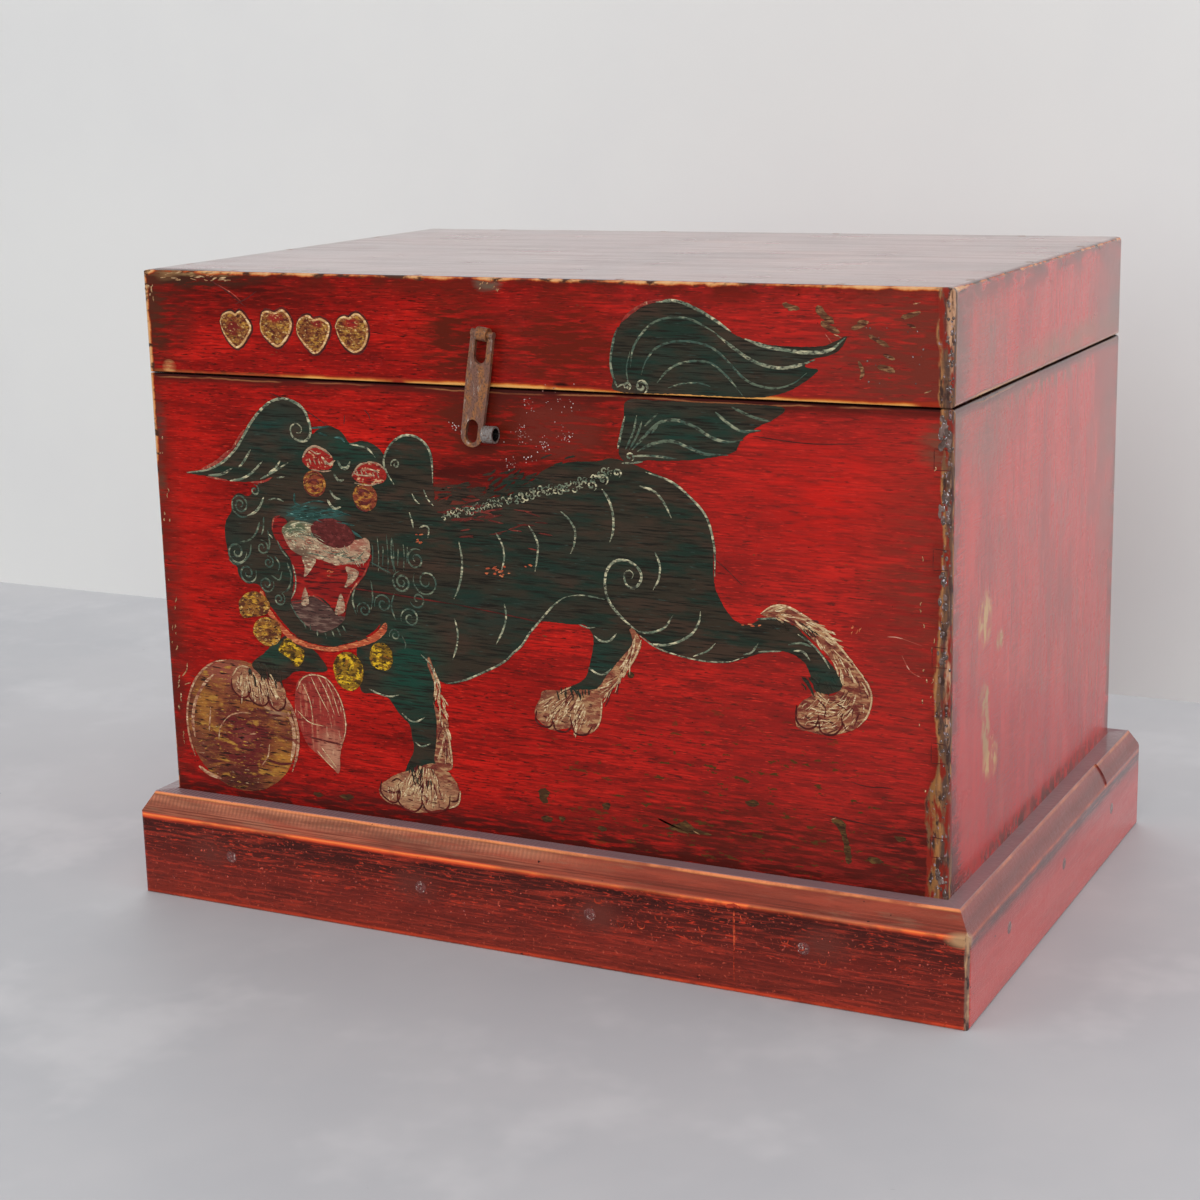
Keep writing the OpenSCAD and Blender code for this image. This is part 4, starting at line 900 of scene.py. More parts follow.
lines("muzzle_whiskers", "trunk", LINE, 0.5, [
    *[(0.9, [-203 + 3 * k, 299 - k, -196 + 3 * k, 303 - 1.5 * k, -186 + 3 * k, 304 - 2 * k]) for k in range(4)],
    *[(0.9, [-170 + 6 * k, 288 - k, -160 + 6 * k, 286 - k, -150 + 5 * k, 288 - k]) for k in range(4)],
    (1.2, [-200, 304, -188, 308, -176, 307]), (1.1, [-148, 281, -140, 283, -132, 290]),
    (1.1, [-184, 285, -172, 284, -162, 281]),
    *dabs("w1", (-201, 290, -172, 305), -38, 20, (5, 10), (0.4, 0.8)),
    *dabs("w2", (-160, 282, -136, 294), -50, 12, (4, 8), (0.4, 0.8))])
lines("lion_teal_lines", "trunk", TEAL, 0.36, [
    (1.4, [-200, 315, -185, 312, -170, 312.5, -145, 317]), (1.2, [-185, 322, -175, 325, -165, 325]),
    (1.2, [-196, 318, -190, 321]),
    *dabs("t1", (-202, 309, -152, 320), 2, 34, (7, 18), (0.6, 1.5)), (2, [-150, 308, -142, 304, -134, 300]),
    (1.6, [-168, 377, -160, 375]), (1.6, [-154, 374, -148, 374, -145, 371]), (1.6, [-174, 380, -166, 381, -158, 382]),
    (1.4, [-158, 317, -150, 318]), (1.6, [-192, 330, -192, 323, -187, 321]),
])
lines("lion_rose_lines", "trunk", PINK, 0.40, [
    (3.2, [-276, 343, -266, 347, -255, 354, -246, 361]), (2, [-246, 361, -239, 370, -234, 376]),
    (1.6, [-231, 336, -220, 337, -211, 341]), (1.3, [-252, 336, -262, 337, -272, 338]),
    (1.3, [-214, 300, -212, 309, -206, 312]), (1.3, [-128, 284, -134, 272, -146, 258, -151, 246]),
    (1, [-200, 245, -192, 246, -188, 250, -182, 252, -176, 251, -168, 246]),
])
lines("lion_red_lines", "trunk", SCRATCH, 0.38,
      [(1.2, [-155.7, 261, -127.6, 260, -56.7, 256]), (0.9, [-56, 256, -15, 252, 15.8, 248.5])])
lines("lion_brow_lines", "trunk", CREAM, 0.5, [
    (1.9, [-183, 357, -179, 363, -172, 366.5, -164, 364.5, -157, 360]), (2, [-166, 359, -160, 354, -154, 357]),
    (1.4, [-140, 346, -134, 354, -126, 357]), (1.2, [-176, 364, -170, 361, -166, 362]),
    (1.2, [-132, 351, -124, 352, -116, 350]), (1.1, [-138, 348, -130, 347, -120, 347.5]),
    (1.4, [-126, 357.5, -117, 356.5, -111, 352]),
    *[(1.4, [x, 357, x + 1.5, 353]) for x in (-177, -173, -169, -164)],
    *[(1.4, [x, 351 - k * 0.3, x + 1.5, 347 - k * 0.3]) for k, x in enumerate((-136, -132, -128, -122, -118))],
    (1, [-158, 349, -166, 348, -176, 349]), (1, [-138, 341, -126, 340, -114, 343]),
])
lines("lion_eye_lines", "trunk", GOLD, 0.5, [
    (1.4, [-181, 340, -180, 333, -174, 331, -167, 334, -166, 341]), (1.4, [-180, 343, -174, 346, -168, 344]),
    (1.4, [-138, 334, -135, 339, -128, 341]), (1.2, [-138, 327, -133, 322, -126, 323])])
lines("lion_pupils", "trunk", NOSE, 0.46, [
    (2.2, [-179, 338, -176, 341, -172, 341, -169, 338]), (1.8, [-176, 336, -173, 333, -170, 336]),
    (1.2, [-182, 336, -180, 332, -175, 329.5]), (1.2, [-166, 343, -172, 347, -179, 345]),
    (3.2, [-135, 333, -131, 336, -125, 334]), (2.8, [-134, 328, -129, 326, -124, 329]), (2, [-131, 331, -127, 331]),
    (1.3, [-139, 327, -135, 322, -128, 320])])
# small bead-like curls along the back, closest at the tail
rng = random.Random("beads of the back")
BACK = flowing([-62, 321, -45, 325.5, -30, 330, -10, 336, 10, 342, 30, 346.5, 50, 352, 65, 359, 78, 366, 90, 374],
               False, 3)
beads = [(1.3, curl(88, 373, 3.4, 1.1)), (1.4, curl(78, 361, 3.4, 1.2)), (1.4, curl(67, 356, 4.2, 1.2)),
         (1.4, curl(58, 351, 4, 1.2)),
         (1.5, [82, 368, 92, 369, 98, 370])]
for p in BACK[:-6]:
    for row in (-1.6, 1.8):
        beads.append((rng.uniform(0.8, 1.2), curl(
            p.x + rng.uniform(-1.2, 1.2), p.y + row + rng.uniform(-1.2, 1.2), rng.uniform(1.5, 2.7),
            rng.uniform(0.6, 1), rng.uniform(0, 360), rng.choice((-1, 1)))))
lines("back_beads", "trunk", LINE, 0.5, beads)

lines("orange_flecks", "trunk", ORANGE, 0.34, [
    *dabs("o1", (-38, 280, -10, 288), 6, 13, (1.5, 4.5), (0.7, 1.7)),
    *dabs("o2", (-88, 299, -82, 306), 20, 5, (2, 5), (0.8, 1.8)),
    *dabs("o3", (-169, 267, -163, 272), 30, 4, (1.5, 4), (1, 2)),
    *dabs("o4", (161, 259, 184, 263), 10, 4, (2, 4), (0.7, 1.5)),
    *dabs("o5", (243, 260, 262, 268), 60, 4, (1.5, 3.5), (0.7, 1.4)),
    *dabs("o6", (0, 288, 8, 291), 0, 3, (1.5, 3), (0.6, 1.2))])
# the coat frays into the red between the right ear and the back
lines("frayed_coat", "trunk", COAT, 0.2, [
    *dabs("h1", (-72, 328, -20, 344), 8, 84, (5, 16), (0.8, 2.4)),
    *dabs("h2", (-30, 337, 14, 356), 22, 64, (5, 15), (0.8, 2.2)),
    *dabs("h3", (0, 350, 60, 369), 14, 16, (5, 12), (0.8, 1.6))])
lines("rubbed_streaks", "trunk", RUBBED_RED, 0.4, [
    *dabs("r1", (-70, 318, -20, 332), 6, 22, (6, 16), (0.7, 1.6)),
    *dabs("r2", (-60, 300, 20, 330), 4, 16, (6, 16), (0.6, 1.2))])


def fur(seed, spine, half, count, length=(6, 12), width=(0.6, 1.3)):
    """Hair strokes along a spine, fanning out towards the edges; half is how far they reach from it at its two ends."""
    rng = random.Random(seed)
    way = flowing(spine, False, 2)
    made = []
    for _ in range(count):
        k = rng.randrange(len(way) - 2)
        ahead = (way[k + 2] - way[k]).normalized()
        side = Vector((-ahead.y, ahead.x))
        off, long = rng.uniform(-1, 1), rng.uniform(*length)
        start = way[k] + side * off * (half[0] + (half[1] - half[0]) * k / len(way))
        lean = (ahead + side * (0.4 * off + rng.uniform(-0.2, 0.2))).normalized()
        mid, end = start + lean * long * 0.5 + side * rng.uniform(-0.7, 0.7), start + lean * long
        made.append((rng.uniform(*width), [start.x, start.y, mid.x, mid.y, end.x, end.y]))
    return made


# the furred feet and legs: spine, how far the hair reaches from it at its two ends, share of the strokes
FEET = (([190, 271, 208, 269, 224, 261, 238, 250, 249, 236, 254, 222, 250, 208, 238, 203, 226, 204], (2, 11), 1),
        ([-76, 206, -72, 180, -69, 158, -70, 138], (1, 4), 0.35), ([-88, 128, -90, 114, -93, 104], (8, 24), 0.8),
        ([-238, 187, -237, 176, -236, 168], (14, 19), 0.4), ([90, 246, 85, 230, 75, 213, 64, 200], (1, 3), 0.35),
        ([44, 198, 36, 188, 30, 180], (10, 18), 0.45))
# the boxes and slopes of the strokes that run over the toes
TOES = (((-122, 96, -70, 110), 80), ((-256, 165, -216, 180), 100), ((14, 172, 50, 184), 70), ((214, 194, 246, 210), 50))


def all_fur(first_seed, count):
    """The hair of all the feet."""
    return [stroke for k, (spine, half, share) in enumerate(FEET)
            for stroke in fur(k + first_seed, spine, half, int(count * share))]


lines("fur_dark_strokes", "trunk", NOSE, 0.42, all_fur(0, 44))
lines("fur_strokes", "trunk", PALE_FUR, 0.5, all_fur(20, 84) + [
    stroke for k, (box, slope) in enumerate(TOES) for stroke in dabs(f"toes{k}", box, slope, 34, (3, 7), (0.5, 1))])
lines("fur_edges", "trunk", PALE_FUR, 0.52, [
    (1.6, [185, 270, 192, 275, 202, 277, 215, 272, 230, 263, 242, 252, 253, 240]),
    (1.2, [253, 240, 262, 228, 265, 218, 262, 206, 255, 197]), (1.2, [-76, 204, -72, 192, -74, 180, -68, 170]),
    (1.3, [-67, 158, -65, 145, -64, 131]), (1.2, [-58, 113, -60, 103, -68, 98]),
    (1.4, [94, 243, 89, 230, 79, 216, 68, 203]), (1.2, [62, 195, 60, 180, 55, 172]),
    (1.3, [-259, 182, -252, 190, -242, 190])])
lines("toe_outlines", "trunk", SCRATCH, 0.62, [
    # the paw on the ball
    (1.5, [-260, 180, -260, 172, -254, 166, -247, 166, -243, 172, -244, 180]),
    (1.5, [-245, 175, -244, 166, -238, 161, -230, 161, -226, 167, -227, 175]),
    (1.5, [-227, 170, -225, 162, -218, 158, -212, 162, -210, 170]), (1.1, [-256, 172, -251, 170]),
    (1.1, [-240, 168, -235, 166]),
    # the forepaw
    (1.5, [-127, 112, -128, 104, -122, 98, -115, 97, -111, 103, -112, 112]),
    (1.5, [-112, 108, -113, 99, -107, 93, -98, 92, -92, 98, -92, 107]),
    (1.5, [-92, 102, -88, 94, -78, 94, -69, 99, -67, 108]), (1.3, [-67, 104, -61, 105, -59, 112]),
    (1.1, [-122, 106, -117, 105]), (1.1, [-104, 101, -99, 100]), (1.1, [-84, 101, -78, 101]),
    (1.2, [-118, 113, -113, 116, -108, 114]), (1.2, [-100, 112, -95, 115, -90, 111]),
    # the far hind paw
    (1.4, [9, 183, 8, 175, 14, 171, 20, 172, 23, 179]), (1.4, [22, 178, 24, 170, 32, 169, 37, 174, 36, 181]),
    (1.4, [37, 178, 40, 169, 49, 169, 54, 176]), (1.1, [14, 179, 18, 178]), (1.1, [28, 177, 32, 176]),
    (1.1, [44, 176, 48, 177]),
    # the near hind paw
    (1.5, [211, 208, 211, 197, 218, 192, 225, 195, 227, 203]),
    (1.5, [227, 200, 229, 191, 238, 190, 244, 197, 243, 204]), (1.4, [244, 200, 247, 194]), (1.2, [217, 201, 221, 199]),
    (1.2, [234, 199, 238, 198]), (1.2, [226, 214, 232, 208, 231, 201]), (1.2, [240, 212, 247, 209])])
# the coat's brush strokes run out over the paws
lines("coat_ends", "trunk", COAT, 0.66, [
    *dabs("k1", (-244, 184, -214, 196), -70, 22, (5, 11), (0.8, 1.8)),
    *dabs("k2", (-102, 118, -82, 128), -88, 18, (4, 9), (0.8, 1.6)),
    *dabs("k3", (24, 198, 52, 204), -75, 16, (4, 8), (0.8, 1.6)),
    *dabs("k4", (214, 222, 240, 232), -50, 20, (4, 9), (0.8, 1.8)),
    *dabs("k5", (192, 262, 224, 268), -38, 12, (5, 10), (0.8, 1.4))])
lines("leaf_veins", "trunk", PALE_FUR, 0.4, [
    (1.4, [-200, 176, -194, 186, -184, 190, -172, 188, -163, 178, -158, 165, -157, 150, -161, 137]),
    (1.2, [-186, 188, -180, 176, -172, 162]), (1.2, [-180, 190, -173, 178, -166, 160]),
    (1.2, [-173, 188, -167, 176, -162, 160]), (1.2, [-194, 182, -188, 168, -186, 150]),
    (1.2, [-200, 160, -190, 152, -176, 150]), (1.2, [-184, 130, -176, 122, -168, 116]),
    (1.2, [-180, 133, -172, 124, -167, 118])], broader=0.6)
lines("ball_rims", "trunk", BALL_RIM, 0.4, [
    (1.8, [-300, 112, -304, 126, -305.5, 142, -303, 158, -297, 172, -288, 183, -276, 191, -264, 194]),
    (2.6, [-299, 128, -300, 142, -296, 158, -287, 172, -276, 182]), (3, [-297, 104, -288, 99, -276, 96]),
    (2.4, [-213, 172, -206, 162, -202, 150, -201, 138, -203, 124, -208, 110]),
    (3.2, [-209, 158, -205, 146, -205, 132, -209, 118]), (1.2, [-268, 146, -262, 150, -252, 153, -244, 153]),
    (1.3, [-285, 134, -283, 146, -282, 154]), (1.2, [-246, 136, -240, 137]), (1.1, [-276, 128, -274, 138, -268, 146]),
    (1.1, [-236, 112, -230, 120, -228, 130])])
lines("ball_shadows", "trunk", NOSE, 0.45, [
    (2, [-238, 158, -228, 154, -214, 154]), (1.6, [-218, 138, -208, 136, -200, 137]),
    (1.8, [-232, 118, -220, 115, -206, 117]), (1.6, [-296, 114, -284, 110, -272, 111]),
    (1.8, [-262, 104, -248, 101, -236, 104]), (1.4, [-190, 140, -176, 138.5, -160, 137]),
    (1.4, [-126, 105, -118, 104, -112, 106, -110, 100]), (1.2, [-95, 122, -91, 116, -92, 108, -86, 103])])

lines("tail_lines", "lid", DIM_LINE, 0.40, [
    (2, [90, 435, 92, 447, 98, 457, 108, 466, 122, 470, 135, 469, 147, 464, 156, 459]),
    (2, [98, 430, 102, 440, 110, 449, 122, 453.5, 135, 454, 148, 451.5, 157, 446.5, 166, 438, 175, 430, 185, 426, 198,
         425, 210, 429, 219, 436]),
    (2, [110, 425, 117, 433, 126, 438.5, 138, 441, 150, 440, 160, 433, 168, 425, 173, 419]),
    (1.5, [118, 422, 130, 425.5, 142, 426, 150, 424]), (2.2, [80, 420, 76, 430, 75, 440, 78, 455, 81, 462]),
    (1.3, [88, 424, 87, 434, 90, 446]),
], broader=0.8)
lines("tail_edges", "lid", LINE, 0.42, [
    (2.6, [110, 480, 125, 481, 140, 476, 155, 468, 165, 461.5]),
    (3, [175, 457, 190, 452.5, 205, 450.5, 220, 449.5, 235, 451.5, 246, 460]),
    (2.8, [155, 459, 165, 452, 175, 445.5, 185, 441, 200, 438.5, 214, 441, 225, 445]),
], broader=0.8)
lines("tail_rose_edge", "lid", PINK, 0.40, [(2.4, [84, 466, 92, 473, 103, 479, 116, 481.5])])
lines("tail_curls", "lid", LINE, 0.5,
      [(2, curl(98, 422, 5, 1.3)), (1.5, curl(87, 422, 3, 1.2)), (1.2, [80, 421, 84, 423, 88, 420])])

# chips, scratches and hairline joints of the boards
fills("chips", "trunk", CHIP, 0.06, [
    [104, 113, 112, 110, 120, 111, 126, 114, 130, 111, 134, 109, 146, 106, 134, 105, 122, 105, 110, 106, 114, 108],
    [236, 128, 241, 130, 247, 128, 246, 124, 249, 114, 251, 100, 247, 100, 245, 112, 243, 121],
    [60, 118, 64, 120, 67, 118, 65, 114, 61, 115], [172, 134, 178, 136, 183, 134, 178, 131, 173, 132],
    [262, 105, 270, 106, 274, 103, 266, 102],
    [-166, 96, -158, 98, -152, 96, -160, 93], [-190, 95, -184, 96, -180, 94, -186, 92],
    [8, 121, 12, 124, 18, 121, 15, 117, 16, 113, 11, 113],
    [9, 101, 14, 103, 20, 101, 14, 98], [24, 103, 28, 104, 30, 102, 27, 100], [56, 99, 60, 101, 64, 99, 60, 97],
    [282, 123, 288, 124, 290, 121, 284, 120],
    [82, 218, 85, 220, 88, 217, 85, 214]], shake=0.6)
lines("lid_chips", "lid", LID_CHIP, 0.06, [
    (3.6, [226, 480, 231, 474, 238, 469]), (3, [229, 470, 235, 466, 242, 463]), (2.4, [202, 481, 208, 479, 214, 478]),
    (2, [206, 477, 211, 479]), (2.2, [250, 466, 256, 468, 262, 471]), (1.8, [254, 470, 261, 471]),
    (2.2, [262, 462, 270, 458, 276, 455]), (1.8, [272, 450, 280, 447]), (2.6, [268, 442, 274, 441, 280, 439]),
    (1.8, [255, 445, 258, 438, 256, 433]), (2.4, [284, 474, 291, 476, 297, 478]), (1.6, [288, 470, 294, 468])],
      broader=1.4)
lines("lid_tan_chips", "lid", TAN_CHIP, 0.08, [
    (0.8, [238, 462, 243, 460]), (0.8, [252, 467, 258, 469]), (0.8, [292, 483, 297, 484]), (0.9, [300, 426, 305, 428]),
    *dabs("m1", (-318, 470, -306, 490), 80, 10, (1.5, 4), (0.6, 1.4)),
    *dabs("m2", (-310, 486, -236, 492), 4, 20, (2, 7), (0.5, 1.2)),
    *dabs("m3", (-34, 484, -8, 491), 60, 9, (1.5, 3), (0.5, 0.9))])
lines("tan_chips", "trunk", TAN_CHIP, 0.08, [
    *dabs("n1", (-315, 120, -309, 390), 84, 26, (1.5, 5), (0.5, 1.3)),
    *dabs("n2", (296, 150, 309, 400), 84, 14, (1.5, 4), (0.5, 1)), (1, [-308, 176, -303, 182, -302, 188]),
    (0.8, [-306, 170, -300, 172]), (0.8, [132, 107, 137, 105]), (0.7, [236, 129, 240, 131])])
lines("scratches", "trunk", SCRATCH, 0.05, [
    (1, [-210, 405, -195, 400, -178, 393, -160, 383]), (0.9, [-127, 396, -123, 392, -122, 388]),
    (0.9, [-144, 391, -145, 384]), (0.8, [152, 305, 162, 297, 172, 288]), (0.8, [230, 132, 262, 129, 300, 127]),
    (0.8, [180, 392, 220, 389, 262, 391]), (0.7, [-300, 178, -285, 176, -276, 178]),
    (0.7, [250, 158, 262, 156, 280, 157])])
lines("pale_scratches", "trunk", PALE_SCRATCH, 0.05, [
    (0.7, [20, 330, 8, 320, 0, 318]), (0.6, [276, 262, 284, 262, 300, 258]), (0.7, [286, 250, 292, 240, 300, 236]),
    (0.6, [-60, 342, -52, 343])])
lines("lid_dark_scratches", "lid", SCRATCH, 0.05, [
    (1, [-262, 490, -244, 480, -226, 468]), (0.8, [-236, 470, -226, 474, -216, 480])])
lines("lid_scratches", "lid", PALE_SCRATCH, 0.05, [
    (0.6, [-250, 484, -238, 478, -230, 472]), (0.6, [100, 462, 103, 459]), (0.6, [232, 462, 240, 452])])

# the plinth's varnish ran down to the floor at a small knot, and set in scallops beside it
lines("plinth_runs", "trunk", PLINTH_RUN, 0.25, [
    (1.6, [172.3, 61, 172, 50, 172.4, 40, 171.8, 28]), (1, [171.8, 27, 171.6, 16, 171.9, 8]),
    (3, [166, 63, 172, 64.5, 178, 63]),
    *[(1, [x - 3, z + 2, x - 2.2, z - 0.8, x, z - 1.6, x + 2.2, z - 0.8, x + 3, z + 2])
      for x, z in ((84, 36), (100, 38), (114, 46), (148, 43), (156, 59), (180, 56), (210, 44), (222, 41), (142, 33),
                   (66, 52), (238, 33))]],
      y=-PLINTH_HALF_D)

# the ends of the side board's pins show as hairlines on the right front corner
PIN_ZS = (119, 185, 251, 317, 383)
PIN_X, PIN_END_X = HALF_W - 2.6, HALF_W - 13     # where a pin meets the worn corner, and the board's thickness in
PIN_HALF, PIN_END_HALF = 6.5, 6.5 * 1.1          # half a pin's height at those two places
pins = [(0.5, [PIN_X, z + s * PIN_HALF, PIN_END_X, z + s * PIN_END_HALF]) for z in PIN_ZS for s in (-1, 1)]
pins += [(0.5, [PIN_END_X, z - PIN_END_HALF, PIN_END_X, z + PIN_END_HALF]) for z in PIN_ZS]
lines("pin_joint_hairlines", "trunk", SCRATCH, 0.04, pins)


# Varnish that ran and set in drops
def drop(x, y, z, r, tall, long=1):
    """A closed low dome on the front, long times as high as it is wide."""
    # rings of the dome, as shares of its height and radius: the first is sunk in, so that the drop never floats
    rings, corners = ((-0.4, 1), (0, 1), (0.6, 0.8), (0.92, 0.42)), 8
    points, faces = [], []
    for lift, share in rings:
        for k in range(corners):
            a = 2 * math.pi * k / corners
            points.append((x + r * share * math.cos(a), y - tall * lift, z + r * long * share * math.sin(a)))
    points.append((x, y - tall, z))
    last = corners * (len(rings) - 1)
    for ring in range(0, last, corners):
        for k in range(corners):
            a, b = ring + k, ring + (k + 1) % corners
            faces.append((a, b, b + corners, a + corners))
    faces += [(last + k, last + (k + 1) % corners, last + corners) for k in range(corners)]
    faces.append(tuple(range(corners - 1, -1, -1)))
    return points, faces


def corner_drop(from_end, z, r, tall, long=1):
    """A drop by the right front corner, set back as far as the worn corner is round there."""
    beyond = max(0, CORNER_R - from_end)
    set_back = 0.1 + CORNER_R - math.sqrt(CORNER_R ** 2 - beyond ** 2)
    return drop(HALF_W - from_end, FRONT_Y + set_back, z, r, tall, long)


IN_FRONT = FRONT_Y + 0.05      # a drop's middle lies just inside the front, mm
rng = random.Random("drops of varnish")
corner_drops = [corner_drop(rng.uniform(1.2, 7), rng.uniform(88, 412), rng.uniform(0.5, 1.3), rng.uniform(0.3, 0.6))
                for _ in range(60)]
# crowds of drops down the corner: height, spread, count
CROWDS = ((398, 6, 22), (352, 10, 14), (300, 12, 10), (246, 8, 5), (97, 5, 10))
corner_drops += [corner_drop(rng.uniform(2.5, 9), rng.gauss(height, spread), rng.uniform(0.8, 2.2),
                             rng.uniform(0.4, 0.8), rng.uniform(1, 2.6))
                 for height, spread, count in CROWDS for _ in range(count)]
lid_drops = [corner_drop(rng.uniform(1.2, 5), rng.uniform(421, 486), rng.uniform(0.5, 1.4), rng.uniform(0.4, 0.8))
             for _ in range(40)]
lid_drops += [drop(HALF_W - rng.uniform(20, 60), IN_FRONT, rng.uniform(430, 470), rng.uniform(0.3, 0.8), 0.3)
              for _ in range(18)]
# crowds of drops round the hasp: x, height, spread, count
HASP_CROWDS = ((3, 384, 4, 34), (20, 378, 3.5, 22), (-6, 364, 3, 16), (-50, 388, 3.5, 12), (12, 407, 3, 14),
               (34, 409, 6, 22), (38, 384, 3, 20), (10, 368, 2.5, 8))
hasp_drops = [drop(rng.gauss(cx, spread), IN_FRONT, rng.gauss(cz, spread * 0.8), rng.uniform(0.25, 0.6), 0.3)
              for cx, cz, spread, count in HASP_CROWDS for _ in range(count)]
plinth_drops = [drop(rng.uniform(-330, 330), -PLINTH_HALF_D + 0.05, rng.triangular(6, 62, 44),
                     rng.uniform(0.35, 0.95), 0.4) for _ in range(150)]


def varnish(name, ground, other, painted_glint):
    """Varnish that set in thick drops: glassy and amber to grey, with small pale painted highlights."""
    drops = new_finish(name)
    spots = drops.patches((9, 9, 9), 0.52, 0.05, 2, 71)
    # small pale specks over the drops: painted highlights
    painted_glint_spots = drops.patches((1.6, 1.6, 3), 0.66, 0.04, 2, 72)
    return drops.close(drops.coats(ground, [(other, spots), (painted_glint, painted_glint_spots)]), 0.12, spots, 0.1, IOR=1.52,
                       **{"Coat Weight": 0.6, "Coat Roughness": 0.05})


CORNER_VARNISH = varnish("set_varnish_on_corner", "#48342c", "#6a524a", "#c4bcc0")
HASP_VARNISH = varnish("set_varnish_by_hasp", "#8a5a50", "#c0aca6", "#d8ccc8")
PLINTH_VARNISH = varnish("set_varnish_on_plinth", "#8e2d1c", "#b8402a", "#c85a38")
for name, body, finish, parts, slot in (
        ("corner_varnish_drops", "trunk", CORNER_VARNISH, corner_drops, "red_lacquered_wood"),
        ("lid_varnish_drops", "lid", CORNER_VARNISH, lid_drops, "red_lacquered_wood"),
        ("hasp_varnish_drops", "trunk", HASP_VARNISH, hasp_drops, "red_lacquered_wood"),
        ("plinth_varnish_drops", "trunk", PLINTH_VARNISH, plinth_drops, "brown_stained_wood")):
    made = piece(name, body, finish, parts)
    for face in made.data.polygons:
        face.use_smooth = True

# The finishes of the CAD nodes
FINISH_OF = {name: finish for finish, names in (
    (RED, "front_board back_board left_board right_board"),
    (RED_LID, "lid_top_board lid_front_rail lid_back_rail lid_left_rail lid_right_rail"),
    (PLINTH, "plinth_front plinth_back"), (PLINTH_SIDE, "plinth_left plinth_right"), (FILLER, "plinth_fillers"),
    (PINE, "floor_plank_front floor_plank_middle floor_plank_back"), (GREY_IRON, "lock_staple"),
) for name in names.split()}   # all else is rusted iron
for name, made in nodes.items():
    made.data.materials.clear()
    made.data.materials.append(FINISH_OF.get(name, IRON))

# Floor, wall, light and camera
REACH = 14                     # how far the floor and the wall go on to either side, m
WALL_Y, WALL_TOP = 0.62, 5     # the wall stands clear of the open lid, m
FOOT_SHOWN = 2.5               # how far the floor reaches in under the plinth's rails, mm

# the floor is open inside the plinth's rails, so that light reaches the underside when that is looked at
floor_mesh = bpy.data.meshes.new("floor")
OPEN_W, OPEN_D = (PLINTH_HALF_W - FOOT_SHOWN) * MM, (PLINTH_HALF_D - FOOT_SHOWN) * MM
floor_mesh.from_pydata([(sx * w, sy * d, 0) for w, d in ((REACH, REACH), (OPEN_W, OPEN_D))
                        for sx, sy in ((-1, -1), (1, -1), (1, 1), (-1, 1))],
                       [], [(k, (k + 1) % 4, (k + 1) % 4 + 4, k + 4) for k in range(4)])
floor = placed("floor", floor_mesh)
concrete = new_finish("polished_concrete")
cloud = concrete.coats("#b0afb0", [
    ("#a9a9ab", concrete.patches((420, 420, 420), 0.50, 0.12, 5, 81)),
    ("#b6b5b6", concrete.patches((150, 150, 150), 0.60, 0.10, 4, 82)),
    ("#8f8f93", concrete.patches((14, 9, 9), 0.80, 0.01, 2, 83))])
# the backs of the floor and of the wall are clear
behind = concrete.node("NewGeometry", out="Backfacing")
concrete.node("OutputMaterial", {"Surface": concrete.node("MixShader", {
    0: behind, 1: concrete.node("BsdfPrincipled", {"Base Color": cloud, "Roughness": 0.55}),
    2: concrete.node("BsdfTransparent")})})
floor_mesh.materials.append(concrete.owner)

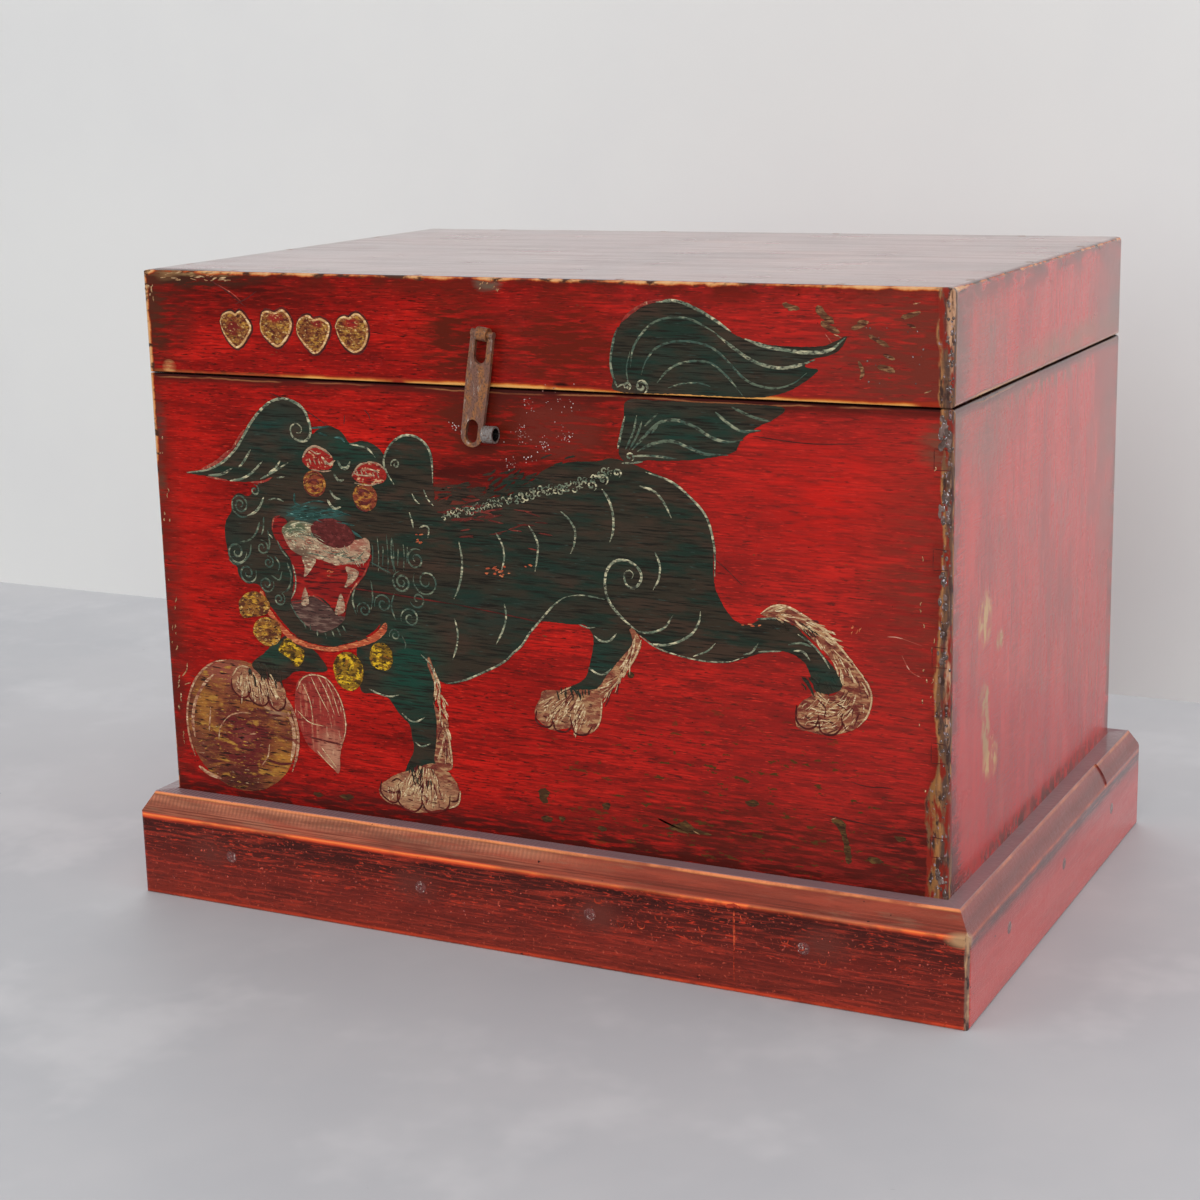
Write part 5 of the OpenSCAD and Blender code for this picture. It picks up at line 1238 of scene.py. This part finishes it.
# a plain wall, which is seen and mirrored but neither shades nor lights the trunk
wall_mesh = bpy.data.meshes.new("wall")
wall_mesh.from_pydata([(x, WALL_Y, z) for x, z in ((-REACH, 0), (REACH, 0), (REACH, WALL_TOP), (-REACH, WALL_TOP))],
                      [], [(0, 1, 2, 3)])
wall = placed("wall", wall_mesh)
plaster = new_finish("painted_plaster")
pale = plaster.coats("#dbdbd8", [("#d8d8d6", plaster.patches((300, 300, 300), 0.55, 0.2, 4, 91))])
plaster.node("OutputMaterial", {"Surface": plaster.node("MixShader", {
    0: plaster.node("NewGeometry", out="Backfacing"), 1: plaster.node("BsdfDiffuse", {"Color": pale}),
    2: plaster.node("BsdfTransparent")})})
wall_mesh.materials.append(plaster.owner)
wall.visible_shadow = wall.visible_diffuse = False

world = bpy.data.worlds.new("pale_room")
bpy.context.scene.world = world
room = Finish(world)
# seen in the gloss, the room in front of the trunk is dimmer than the wall behind it
ahead = room.node("SeparateXYZ", {0: room.node("TexCoord")}, out="Y")
dimmer = room.node("ValToRGB", {"Fac": room.node("MapRange", {"Value": ahead, "From Min": -0.5, "From Max": 0.6})},
                   stops=[(0, "#6a6a6e"), (1, "#e6e6e8")])
in_gloss, seen = (room.node("LightPath", out=ray) for ray in ("Is Glossy Ray", "Is Camera Ray"))
glow = room.coats("#dcdee2", [(dimmer, in_gloss), ("#dadad8", seen)])
room.node("OutputWorld", {"Surface": room.node("Background", {"Color": glow, "Strength": 1})})

# soft square lamps that face the middle of the trunk: name, place in m, power in W, whether the gloss mirrors it
LAMP_SIZE, LIT_POINT = 2, (0, 0, 0.25)
for name, place, power, shows in (
        ("soft_key", (1, -2.5, 1.8), 44, True), ("soft_fill", (-1.9, -2.3, 1.3), 22, False),
        ("soft_side", (2.6, 0.3, 1.5), 26, False), ("soft_back", (-1.2, 2.4, 1.6), 30, False)):
    lamp = bpy.data.lights.new(name, "AREA")
    lamp.size, lamp.energy = LAMP_SIZE, power
    made = placed(name, lamp)
    made.location, made.visible_glossy = place, shows
    made.rotation_euler = (Vector(LIT_POINT) - Vector(place)).to_track_quat("-Z", "Y").to_euler()

# the camera at the photograph's angle
CAMERA_AT = (0.7686, -1.6046, 0.6361)          # m
YAW, PITCH, ROLL = 26.91, -13.23, 1.39         # degrees
lens = bpy.data.cameras.new("photo_camera")
lens.lens, lens.sensor_width = 68.17, 36       # mm
camera = placed("photo_camera", lens)
turned = Matrix.Identity(4)
for degrees, axis in ((YAW, "Z"), (PITCH, "X"), (ROLL, "Y"), (90, "X")):
    turned = turned @ Matrix.Rotation(math.radians(degrees), 4, axis)
camera.matrix_world = Matrix.Translation(CAMERA_AT) @ turned
bpy.context.scene.camera = camera
bpy.context.scene.view_settings.view_transform = "Standard"
